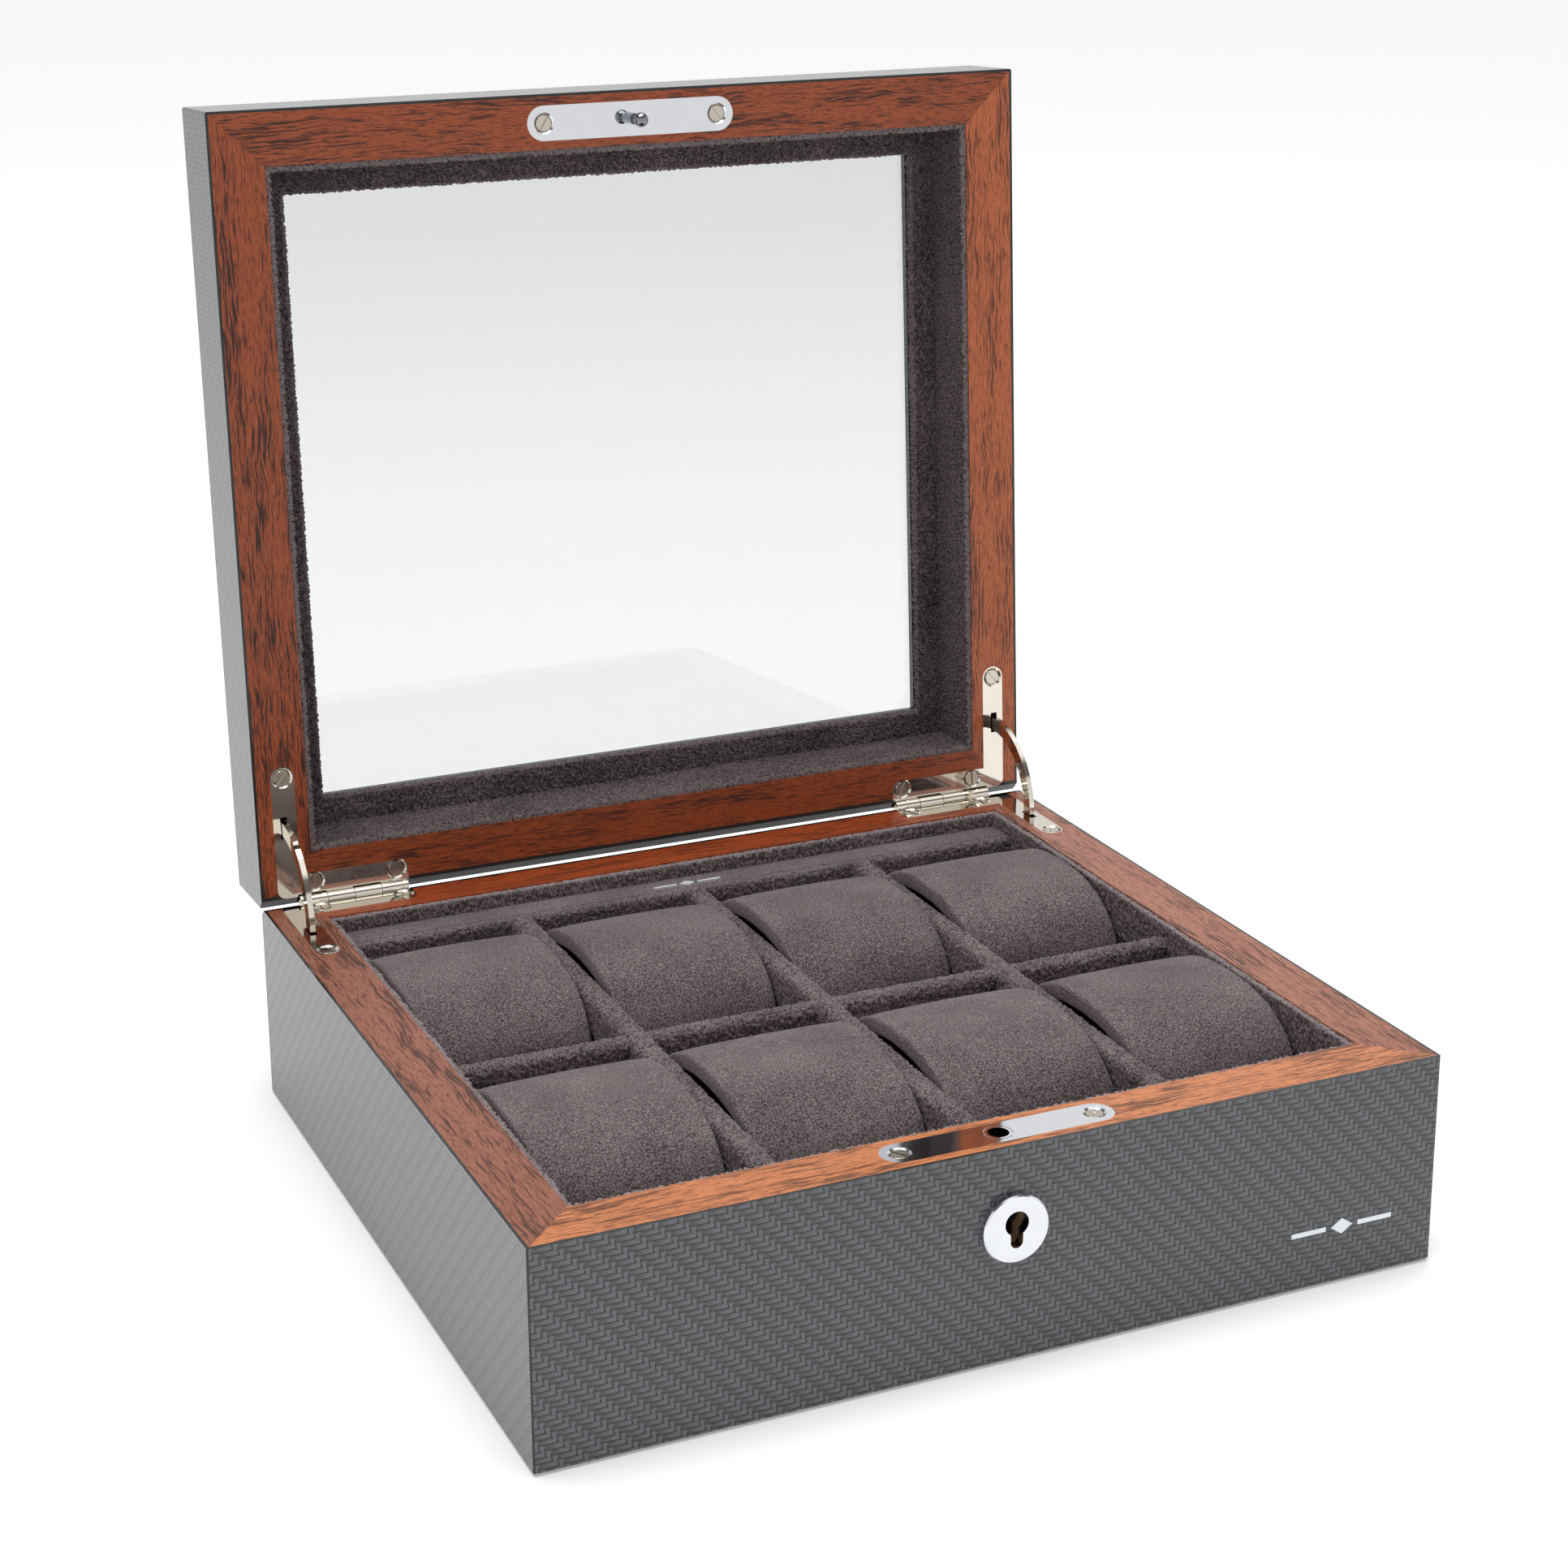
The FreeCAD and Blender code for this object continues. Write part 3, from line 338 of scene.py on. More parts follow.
    # the bevelled and cut edges show the laminate's plain dark body
    second = add(tree, "Math", {0: faces[0], 1: faces[1]}, operation="MULTIPLY")
    for pair in ((0, 2), (1, 2)):
        third = add(tree, "Math", {0: faces[pair[0]], 1: faces[pair[1]]}, operation="MULTIPLY")
        second = add(tree, "Math", {0: second, 1: third}, operation="ADD")
    cut = add(tree, "Math", {0: second, 1: 0.2}, operation="GREATER_THAN")
    if edge_axis is not None:
        end = add(tree, "Math", {0: faces[edge_axis], 1: 0.8}, operation="GREATER_THAN")
        cut = add(tree, "Math", {0: cut, 1: end}, operation="MAXIMUM")
    shown = add(tree, "Mix", {0: cut, 6: paint, 7: rgba(look.edge)}, data_type="RGBA")
    rise = add(tree, "Bump", {"Height": thread, "Strength": 0.15, "Distance": 0.05 * MM})
    tree.links.new(shown.outputs[2], shader.inputs["Base Color"])
    tree.links.new(rise.outputs[0], shader.inputs["Normal"])
    return made


def along_rail(length, width):
    """The scale of a mark with this length along a rail and width across it, in millimetres."""
    return (1 / (length * MM), 1 / (width * MM), 1 / (width * MM))


def rail_material(name, turn, seed, heart, glow, depth):
    """Sapele rail, planed and lacquered: ribbon figure and open pores that run with the rail.

    The body runs from heart to glow, and depth says how dark its marks are, from 0 to 1."""
    look = settings("wood")
    made, tree, shader = start_material(name, Roughness=0.42, Specular_IOR_Level=0.3,
                                        Coat_Weight=0.2, Coat_Roughness=0.2)
    place = add(tree, "TexCoord")
    at = add(tree, "Mapping", {0: place.outputs["Object"], 1: (seed, seed, 0), 2: turn})
    bend = add(tree, "TexNoise", {0: at, "Scale": 1 / (24 * MM), "Detail": 3.0})
    bend = add(tree, "MapRange", {0: bend, 3: -2.6 * MM, 4: 2.6 * MM})
    bend = add(tree, "CombineXYZ", {1: bend})
    line = add(tree, "VectorMath", {0: at, 1: bend}, operation="ADD")
    # figure: dark streaks about 0.66 mm wide and 11 mm long
    streak = add(tree, "VectorMath", {0: line, 1: along_rail(11, 0.66)}, operation="MULTIPLY")
    figure = add(tree, "TexNoise", {0: streak, "Scale": 1.0, "Detail": 3.0, "Roughness": 0.6})
    # patches: where the streaks crowd together, about 45 mm by 6 mm
    broad = add(tree, "VectorMath", {0: line, 1: along_rail(45, 6)}, operation="MULTIPLY")
    patch = add(tree, "TexNoise", {0: broad, "Scale": 1.0, "Detail": 1.0})
    crowd = add(tree, "MapRange", {0: patch, 1: 0.3, 2: 0.7, 3: -0.1, 4: 0.1})
    dark = add(tree, "Math", {0: figure, 1: crowd}, operation="ADD")
    dark = add(tree, "MapRange", {0: dark, 1: 0.5, 2: 0.64}, interpolation_type="SMOOTHSTEP")
    # pores: short dashes about 0.2 mm wide, drawn 0.3 mm wide and 3.2 mm long so they show
    fine = add(tree, "VectorMath", {0: line, 1: along_rail(3.2, 0.3)}, operation="MULTIPLY")
    pore = add(tree, "TexNoise", {0: fine, "Scale": 1.0, "Detail": 2.0})
    pores = add(tree, "MapRange", {0: pore, 1: 0.52, 2: 0.66}, interpolation_type="SMOOTHSTEP")
    pores = add(tree, "Math", {0: pores, 1: 0.75}, operation="MULTIPLY")
    body = add(tree, "Mix", {0: pore, 6: rgba(glow), 7: rgba(heart)}, data_type="RGBA")
    marks = add(tree, "Math", {0: dark, 1: pores}, operation="MAXIMUM")
    marks = add(tree, "Math", {0: marks, 1: depth}, operation="MULTIPLY")
    shown = add(tree, "Mix", {0: marks, 6: body.outputs[2], 7: rgba(look.streak)},
                data_type="RGBA")
    rough = add(tree, "MapRange", {0: marks, 3: 0.36, 4: 0.6})
    rise = add(tree, "Bump", {"Height": marks, "Strength": 0.25, "Distance": 0.05 * MM},
               invert=True)
    tree.links.new(shown.outputs[2], shader.inputs["Base Color"])
    tree.links.new(rough.outputs[0], shader.inputs["Roughness"])
    tree.links.new(rise.outputs[0], shader.inputs["Normal"])
    return made


def board_material():
    """Fibreboard and plywood core: pale brown pressed fibre with darker specks."""
    look = settings("wood")
    made, tree, shader = start_material("fibreboard", Roughness=0.8)
    place = add(tree, "TexCoord")
    speck = add(tree, "TexNoise", {0: place.outputs["Object"], "Scale": 1 / (0.8 * MM),
                                   "Detail": 3.0})
    dark = tuple(part * 0.55 for part in look.board)
    paint = add(tree, "ValToRGB", {0: speck}, stops=[(0.3, rgba(dark)), (0.6, rgba(look.board))])
    tree.links.new(paint.outputs[0], shader.inputs["Base Color"])
    return made


def metal_material(name, colour, roughness, wear):
    """Plated and polished metal: a clear mirror, very lightly hazed by handling."""
    made, tree, shader = start_material(name, Metallic=1.0, Roughness=roughness)
    place = add(tree, "TexCoord")
    haze = add(tree, "TexNoise", {0: place.outputs["Object"], "Scale": 1 / (6 * MM),
                                  "Detail": 3.0})
    rough = add(tree, "MapRange", {0: haze, 1: 0.3, 2: 0.7, 3: roughness, 4: roughness + wear})
    dull = tuple(part * 0.9 for part in colour)
    paint = add(tree, "Mix", {0: haze, 6: rgba(dull), 7: rgba(colour)}, data_type="RGBA")
    tree.links.new(paint.outputs[2], shader.inputs["Base Color"])
    tree.links.new(rough.outputs[0], shader.inputs["Roughness"])
    return made


def glass_material():
    """Float glass: clear and flat, with the faint green-grey of its iron; lamps pass it."""
    made, tree, shader = start_material("float_glass", Roughness=0.0, IOR=1.5,
                                        Transmission_Weight=1.0,
                                        Base_Color=rgba(tone("dadbdd")))
    ray = add(tree, "LightPath")
    clear = add(tree, "BsdfTransparent", {0: rgba(tone("eef3f2"))})
    both = add(tree, "MixShader", {0: ray.outputs["Is Shadow Ray"], 1: shader, 2: clear})
    tree.links.new(both.outputs[0], tree.nodes["Material Output"].inputs["Surface"])
    return made


def felt_material():
    """Pressed wool felt: dark, matt, with crossing fibres."""
    made, tree, shader = start_material("wool_felt", Roughness=1.0, Sheen_Weight=0.3)
    place = add(tree, "TexCoord")
    fibre = add(tree, "TexNoise", {0: place.outputs["Object"], "Scale": 1 / (0.9 * MM),
                                   "Detail": 4.0, "Distortion": 1.5})
    paint = add(tree, "ValToRGB", {0: fibre}, stops=[
        (0.3, rgba(tone("1c1b1c"))), (0.7, rgba(tone("3a3839")))])
    rise = add(tree, "Bump", {"Height": fibre, "Strength": 0.6, "Distance": 0.3 * MM})
    tree.links.new(paint.outputs[0], shader.inputs["Base Color"])
    tree.links.new(rise.outputs[0], shader.inputs["Normal"])
    return made


def coat_node(node, material):
    """Gives a carried-over CAD part its finish."""
    shape = frame["nodes"][node]
    shape.data.materials.clear()
    shape.data.materials.append(material)


# ---- soft shapes ----------------------------------------------------------------
def shut_box(node):
    """A lid part's lowest and highest corners with the lid shut."""
    back = TO_OPEN.inverted()
    points = [back @ vertex.co for vertex in frame["nodes"][node].data.vertices]
    return (Vector(map(min, *points)), Vector(map(max, *points)))


def tube(section, cuts, spacing):
    """A closed section pushed along X from -1 to 1, cut finely where the section says so.

    The section lists across, up, and whether the edge to the next point is cut finely."""
    mesh = bmesh.new()
    corners = [mesh.verts.new((-1.0, across, up)) for across, up, _ in section]
    count = len(corners)
    ring = [mesh.edges.new((corners[at], corners[(at + 1) % count])) for at in range(count)]
    grown = bmesh.ops.extrude_edge_only(mesh, edges=ring)["geom"]
    far = [item for item in grown if isinstance(item, bmesh.types.BMVert)]
    bmesh.ops.translate(mesh, verts=far, vec=(2.0, 0.0, 0.0))
    pairs = []
    for near, (_, _, fine) in zip(ring, section):
        face = near.link_faces[0]
        twin = next(edge for edge in face.edges
                    if all(vertex.co.x > 0 for vertex in edge.verts))
        if fine:
            pairs.append((near, twin, int(near.calc_length() / spacing)))
    for near, twin, number in pairs:
        if number > 0:
            bmesh.ops.subdivide_edges(mesh, edges=[near, twin], cuts=number)
    long_edges = [edge for edge in mesh.edges
                  if abs(edge.verts[0].co.x - edge.verts[1].co.x) > 1]
    bmesh.ops.subdivide_edges(mesh, edges=long_edges, cuts=cuts)
    return mesh


def pile(mesh, held, seed, floor=-1.0, ceiling=1.0):
    """Raises tufts of pile on a soft shape; held gives each point's share.

    0 is bare, 1 is full pile, and more than 1 is a lip, where the pile is long and painted pale,
    a painted highlight along the rounded edge.
    The pile is pressed flat at the floor and the ceiling, where another part shuts on it."""
    look = settings("suede")
    mesh.normal_update()
    stands = mesh.verts.layers.float.new("pile")
    moves = []
    for vertex in mesh.verts:
        share = held(vertex.co)
        vertex[stands] = 0.5
        if share > 0:
            at = Vector((vertex.co.x + seed, vertex.co.y, vertex.co.z / 1.8)) / look.tuft
            tuft = 0.5 + 0.8 * noise.noise(at) + 0.5 * noise.noise(at * 2.7)
            tuft = min(max(tuft, 0.0), 1.0)
            # this stored height later paints the suede: painted shade where the pile is low, a
            # painted highlight on high tufts, and a stronger painted highlight on the lips
            vertex[stands] = 0.5 + (tuft - 0.5) * share + 2 * max(share - 1.0, 0.0)
            moves.append((vertex, vertex.normal * (look.pile * share * tuft)))
    for vertex, move in moves:
        vertex.co += move
        vertex.co.z = min(max(vertex.co.z, floor), ceiling)


def finish_shape(mesh, name, material, body, nodes):
    """Turns a built shape into a piece that rides on a body and stands for CAD nodes."""
    bmesh.ops.remove_doubles(mesh, verts=mesh.verts, dist=MERGE)
    bmesh.ops.recalc_face_normals(mesh, faces=mesh.faces)
    data = bpy.data.meshes.new(name)
    mesh.to_mesh(data)
    mesh.free()
    data.shade_smooth()
    data.set_sharp_from_angle(angle=math.radians(50))
    data.materials.append(material)
    piece = bpy.data.objects.new(name, data)
    bpy.context.scene.collection.objects.link(piece)
    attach(piece, body)
    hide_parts(*nodes)
    return piece


def frame_ring(section, half_x, half_y, spacing):
    """A section swept round a rectangle with mitred corners, across measured inwards."""
    whole = bmesh.new()
    carrier = bpy.data.meshes.new("ring_side")
    for turn, (reach, depth) in enumerate(((half_x, half_y), (half_y, half_x)) * 2):
        side = tube(section, int(2 * reach / spacing), spacing)
        for vertex in side.verts:
            share, across, up = vertex.co
            vertex.co = (share * (reach - across), across - depth, up)
        bmesh.ops.rotate(side, verts=side.verts, cent=(0, 0, 0),
                         matrix=Matrix.Rotation(turn * math.pi / 2, 3, "Z"))
        side.to_mesh(carrier)
        side.free()
        whole.from_mesh(carrier)
    bpy.data.meshes.remove(carrier)
    bmesh.ops.remove_doubles(whole, verts=whole.verts, dist=MERGE)
    bmesh.ops.recalc_face_normals(whole, faces=whole.faces)
    return whole


def straight_bar(section, start, end, spacing):
    """A closed bar along X between two places, with filled ends."""
    bar = tube(section, int((end - start) / spacing), spacing)
    rims = [edge for edge in bar.edges if edge.is_boundary]
    bmesh.ops.edgeloop_fill(bar, edges=rims)
    for vertex in bar.verts:
        vertex.co.x = (start + end) / 2 + vertex.co.x * (end - start) / 2
    bmesh.ops.recalc_face_normals(bar, faces=bar.faces)
    return bar


def divider_bar(half, low, top, radius, start, end, seed):
    """A length of suede divider along X: upright, rounded along its top, with raised pile."""
    fine = top - DIVIDER_FINE_DEPTH
    section = [(-half, low, False), (-half, fine, True)]
    for centre, first in ((radius - half, math.pi), (half - radius, math.pi / 2)):
        for step in range(5):
            turn = first - step * math.pi / 8
            section.append((centre + radius * math.cos(turn),
                            top - radius + radius * math.sin(turn), True))
    section += [(half, fine, False), (half, low, False)]
    bar = straight_bar(section, start, end, settings("suede").tuft * GRID_SHARE)
    pile(bar, lambda at: 1.0 if at.z > top - DIVIDER_PILE_DEPTH else 0.0, seed)
    return bar


def inside(at, half_x, half_y):
    """Whether a point lies within an upright box about X and Y zero."""
    return max(abs(at.x) - half_x, abs(at.y) - half_y) < 0


def covered_board(node, edge):
    """A flat board on a node's box, with its edges rounded."""
    low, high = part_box(node)
    board = bmesh.new()
    bmesh.ops.create_cube(board, size=1.0)
    bmesh.ops.scale(board, verts=board.verts, vec=high - low)
    bmesh.ops.translate(board, verts=board.verts, vec=(low + high) / 2)
    bmesh.ops.bevel(board, geom=board.edges[:], offset=edge, affect="EDGES", segments=2,
                    profile=0.5, material=-1)
    return board


def hang_in_lid(ring, low, high):
    """Takes a ring built for the shut lid, about X and Y zero, to its place in the open lid."""
    place = TO_OPEN @ Matrix.Translation((0, (low.y + high.y) / 2, 0))
    bmesh.ops.transform(ring, matrix=place, verts=ring.verts)


# ---- operators ------------------------------------------------------------------
class WATCHBOX_OT_laminate(bpy.types.Operator):
    """Finish the woven laminate on the base and the lid"""
    bl_idname = "watchbox.laminate"
    bl_label = "Woven Laminate"

    def execute(self, context):
        # the lid leans back past upright, and its weave leans with it
        lean = OPEN_ANGLE - math.pi / 2
        base = woven_material("woven_laminate_base", turn=0.0, edge_axis=2, depth=1.0)
        coat_node("base_laminate", base)
        # the lid's weave is drawn at half depth: an even grey painted in place of its lacquer's
        # glare
        lid = woven_material("woven_laminate_lid", turn=lean, edge_axis=1, depth=0.5)
        coat_node("lid_laminate", lid)
        top = woven_material("woven_laminate_top", turn=lean, edge_axis=None, depth=1.0)
        coat_node("lid_top_frame", top)
        return {"FINISHED"}


class WATCHBOX_OT_wood(bpy.types.Operator):
    """Finish the sapele rails and the boards under them"""
    bl_idname = "watchbox.wood"
    bl_label = "Wood"

    def execute(self, context):
        look = settings("wood")
        quarter = math.pi / 2
        # turn, body and bright fibres where a rail has its own, and how dark its marks are; the
        # body colours are partly each board's tone and partly painted light and shade, each rail
        # painted lighter or darker by how it is lit
        rails = {"base_front": ((0, 0, 0), "b06238", "d88a54", 0.75),
                 "base_back": ((0, 0, 0), "8a3a18", "a84c20", 0.7),
                 "base_left": ((0, 0, quarter), "824a36", "9c6046", 0.8),
                 "base_right": ((0, 0, quarter), "8f543e", "aa6c52", 0.75),
                 "lid_front": ((OPEN_ANGLE, 0, 0), None, None, 0.9),
                 "lid_back": ((OPEN_ANGLE, 0, 0), None, None, 0.8),
                 "lid_left": ((OPEN_ANGLE, 0, quarter), None, None, 0.95),
                 "lid_right": ((OPEN_ANGLE, 0, quarter), "9a4a26", "b8643a", 0.75)}
        for number, (name, (turn, heart, glow, depth)) in enumerate(rails.items()):
            heart = tone(heart) if heart else look.heart
            glow = tone(glow) if glow else look.glow
            coat_node(name + "_rim", rail_material("sapele_" + name, turn, 0.37 * (number + 1),
                                                   heart, glow, depth))
        board = board_material()
        for place in ("front", "back", "left", "right"):
            coat_node("base_" + place + "_wall", board)
            coat_node("lid_" + place + "_wall", board)
        coat_node("base_bottom", board)
        return {"FINISHED"}


class WATCHBOX_OT_metal(bpy.types.Operator):
    """Finish the hinges, stay arms, lock, keyhole plate, striker and pressed marks"""
    bl_idname = "watchbox.metal"
    bl_label = "Metal"

    def execute(self, context):
        look = settings("metal")
        nickel = metal_material("polished_nickel", look.nickel, 0.05, 0.04)
        chrome = metal_material("polished_chrome", look.chrome, 0.04, 0.03)
        steel = metal_material("bright_steel", look.steel, 0.3, 0.15)
        screw = metal_material("nickel_screws", look.screw, 0.16, 0.08)
        # painted reflection: a darker chrome than the lock's, so that the ball reads dark
        stud = metal_material("turned_chrome_stud_painted_dark", look.stud, 0.05, 0.03)
        foil = metal_material("pressed_foil", look.foil, 0.6, 0.1)
        finishes = {
            nickel: ("lower_leaf_left", "lower_leaf_right", "upper_leaf_left",
                     "upper_leaf_right", "hinge_pin_left", "hinge_pin_right", "stay_arm_left",
                     "stay_arm_right"),
            chrome: ("escutcheon", "lock_plate", "striker_plate"),
            stud: ("striker_stud",),
            screw: ("base_hinge_screws", "lid_hinge_screws", "lock_plate_screws",
                    "striker_screws"),
            steel: ("lock_case", "lock_bolt"),
            foil: ("front_emblem", "ledge_emblem"),
        }
        for material, nodes in finishes.items():
            for node in nodes:
                coat_node(node, material)
        return {"FINISHED"}


class WATCHBOX_OT_glass(bpy.types.Operator):
    """Finish the lid's window"""
    bl_idname = "watchbox.glass"
    bl_label = "Glass"

    def execute(self, context):
        coat_node("lid_glass", glass_material())
        return {"FINISHED"}


class WATCHBOX_OT_linings(bpy.types.Operator):
    """Line the base and the lid with suede"""
    bl_idname = "watchbox.linings"
    bl_label = "Suede Linings"

    def line_base(self, thick, edge, suede):
        """An upright board with a rounded top, its outer face against the wood."""
        look = settings("suede")
        low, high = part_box("base_lining")
        shut = high.z - LIP_GAP
        top = shut - look.pile / 2
        section = [(0, low.z, False), (0, top - edge, False), (edge / 2, top, True),
                   (thick - edge, top, True), (thick - edge / 4, top - edge / 3, True),
                   (thick, top - edge, True), (thick, top - BASE_FINE_DEPTH, False),
                   (thick, low.z, False)]
        wall = frame_ring(section, high.x, high.y, look.tuft * GRID_SHARE)

        def held(at):
            """Pile on the upper part of the inner face, and longer on the lip."""
            if (inside(at, high.x - PILE_MARGIN, high.y - PILE_MARGIN)
                    and at.z > top - BASE_PILE_DEPTH):
                return BASE_LIP_PILE if at.z > top - edge else 1.0
            return 0.0

        pile(wall, held, 0.0, ceiling=shut)
        finish_shape(wall, "suede_base_lining", suede, "base", ["base_lining"])

    def line_lid(self, thick, edge, suede):
        """The same board, hanging from the glass frame, in a darker copy of the suede: painted
        shade.
        """
        look = settings("suede")
        low, high = shut_box("lid_lining")
        half_y = (high.y - low.y) / 2
        shut = low.z + LIP_GAP
        lip = shut + look.pile / 2
        section = [(0, lip + edge, False), (0, high.z, False), (thick, high.z, True),
                   (thick, lip + edge, True), (thick - edge / 4, lip + edge / 3, True),
                   (thick - edge, lip, True), (edge / 2, lip, True)]
        wall = frame_ring(section, high.x, half_y, look.tuft * GRID_SHARE)

        def held(at):
            """Pile on the whole inner face, and longer on the lip."""
            if inside(at, high.x - PILE_MARGIN, half_y - PILE_MARGIN):
                return LID_LIP_PILE if at.z < lip + edge else 1.0
            return 0.0

        pile(wall, held, 3.0, floor=shut)
        hang_in_lid(wall, low, high)
        finish_shape(wall, "suede_lid_lining", suede, "lid", ["lid_lining"])

    def frame_glass(self, thick, edge, suede):
        """A flat covered ring that holds the pane from inside."""
        low, high = shut_box("lid_glass_frame")
        half_y = (high.y - low.y) / 2
        section = [(0, low.z, False), (0, high.z, False), (WINDOW_FRAME, high.z, True),
                   (WINDOW_FRAME, low.z + edge, True),
                   (WINDOW_FRAME - edge / 3, low.z + edge / 4, True),
                   (WINDOW_FRAME - edge, low.z, True), (thick, low.z, False)]
        ring = frame_ring(section, high.x, half_y, settings("suede").tuft * GRID_SHARE)

        def held(at):
            """Pile inwards of the lining on the face, and longer round the glass."""
            if inside(at, high.x - thick, half_y - thick) and at.z < high.z - 0.1 * MM:
                rounded = inside(at, high.x - WINDOW_FRAME + edge, half_y - WINDOW_FRAME + edge)
                return WINDOW_LIP_PILE if rounded else 1.0
            return 0.0

        pile(ring, held, 6.0)
        hang_in_lid(ring, low, high)
        finish_shape(ring, "suede_glass_frame", suede, "lid", ["lid_glass_frame"])

    def execute(self, context):
        edge = settings("suede").edge
        # the ledge fills the width between the linings, so one lining is the difference
        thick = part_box("base_lining")[1].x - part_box("back_ledge")[1].x
        suede = suede_material("brushed_suede_lining", 0.45 * MM, 0.3 * MM, 0.0, tufted=True,
                               sheen=0.25)
        self.line_base(thick, edge, suede)
        # painted shade: the lid's lining and glass frame get a darker copy of the suede
        suede = suede_material("brushed_suede_lid_shaded", 0.45 * MM, 0.3 * MM, 0.9, tufted=True,
                               sheen=0.15, light=0.66)
        self.line_lid(thick, edge, suede)
        self.frame_glass(thick, edge, suede)
        return {"FINISHED"}


class WATCHBOX_OT_tray(bpy.types.Operator):
    """Cover the tray's floor, ledge and dividers with suede, and felt the underside"""
    bl_idname = "watchbox.tray"
    bl_label = "Suede Tray"

    def cross_divider(self, number, suede):
        """One divider from front to back, a little fuller than its board."""
        low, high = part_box("cross_divider_%d" % number)
        bar = divider_bar((high.x - low.x) / 2 + CROSS_FULLNESS, low.z,
                          high.z + 2 * CROSS_FULLNESS, CROSS_ROUND, low.y + CROSS_END_GAP,
                          high.y - CROSS_END_GAP, 9.0 * number)
        bmesh.ops.rotate(bar, verts=bar.verts, cent=(0, 0, 0),
                         matrix=Matrix.Rotation(math.pi / 2, 3, "Z"))
        bmesh.ops.translate(bar, verts=bar.verts, vec=((low.x + high.x) / 2, 0, 0))
        finish_shape(bar, "suede_cross_divider_%d" % number, suede, "base",
                     ["cross_divider_%d" % number])

    def long_divider(self, suede):
        """The divider from side to side: a length between each pair of cross dividers."""
        low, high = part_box("long_divider")
        crosses = [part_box("cross_divider_%d" % number) for number in (1, 2, 3)]
        stops = [low.x] + [place for pair in crosses for place in (pair[0].x, pair[1].x)]
        stops.append(high.x)
        whole = bmesh.new()
        carrier = bpy.data.meshes.new("divider_length")
        for start, end in zip(stops[::2], stops[1::2]):
            bar = divider_bar((high.y - low.y) / 2, low.z, high.z, LONG_ROUND,
                              start + LONG_END_GAP, end - LONG_END_GAP, 40.0)
            bmesh.ops.translate(bar, verts=bar.verts, vec=(0, (low.y + high.y) / 2, 0))
            bar.to_mesh(carrier)
            bar.free()
            whole.from_mesh(carrier)
        bpy.data.meshes.remove(carrier)
        finish_shape(whole, "suede_long_divider", suede, "base", ["long_divider"])

    def ledge(self, suede):
        """A smooth covered board with a seam behind its front strip."""
        low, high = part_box("back_ledge")
        depth, top, edge, seam = high.y - low.y, high.z, LEDGE_EDGE, LEDGE_SEAM
        section = [(0, low.z, False), (0, top - LEDGE_FINE_DEPTH, True), (0, top - edge, True),
                   (edge * 0.3, top - edge * 0.3, True), (edge, top, True),
                   (seam - SEAM_HALF, top, False), (seam, top - SEAM_DEPTH, False),
                   (seam + SEAM_HALF, top, True), (depth, top, False), (depth, low.z, False)]
        bar = straight_bar(section, low.x, high.x, settings("suede").tuft * GRID_SHARE)

        def held(at):
            """Full pile on the front face and short pile on the front strip."""
            if at.y < 0.5 * MM and at.z > top - LEDGE_PILE_DEPTH:
                return 1.0
            return STRIP_PILE if at.y < seam - 0.6 * MM else 0.0

        pile(bar, held, 70.0)
        bmesh.ops.translate(bar, verts=bar.verts, vec=(0, low.y, 0))
        finish_shape(bar, "suede_back_ledge", suede, "base", ["back_ledge"])

    def execute(self, context):
        suede = suede_material("brushed_suede_tray", 0.45 * MM, 0.3 * MM, 1.7, tufted=True,
                               sheen=0.3)
        smooth = suede_material("pressed_suede_ledge", 0.4 * MM, 0.12 * MM, 2.9, tufted=True,
                                sheen=0.6)
        for number in (1, 2, 3):
            self.cross_divider(number, suede)
        self.long_divider(suede)
        self.ledge(smooth)
        finish_shape(covered_board("tray_floor", 0.5 * MM), "suede_tray_floor", suede, "base",
                     ["tray_floor"])
        finish_shape(covered_board("underside_felt", 0.3 * MM), "felt_underside",
                     felt_material(), "base", ["underside_felt"])
        return {"FINISHED"}


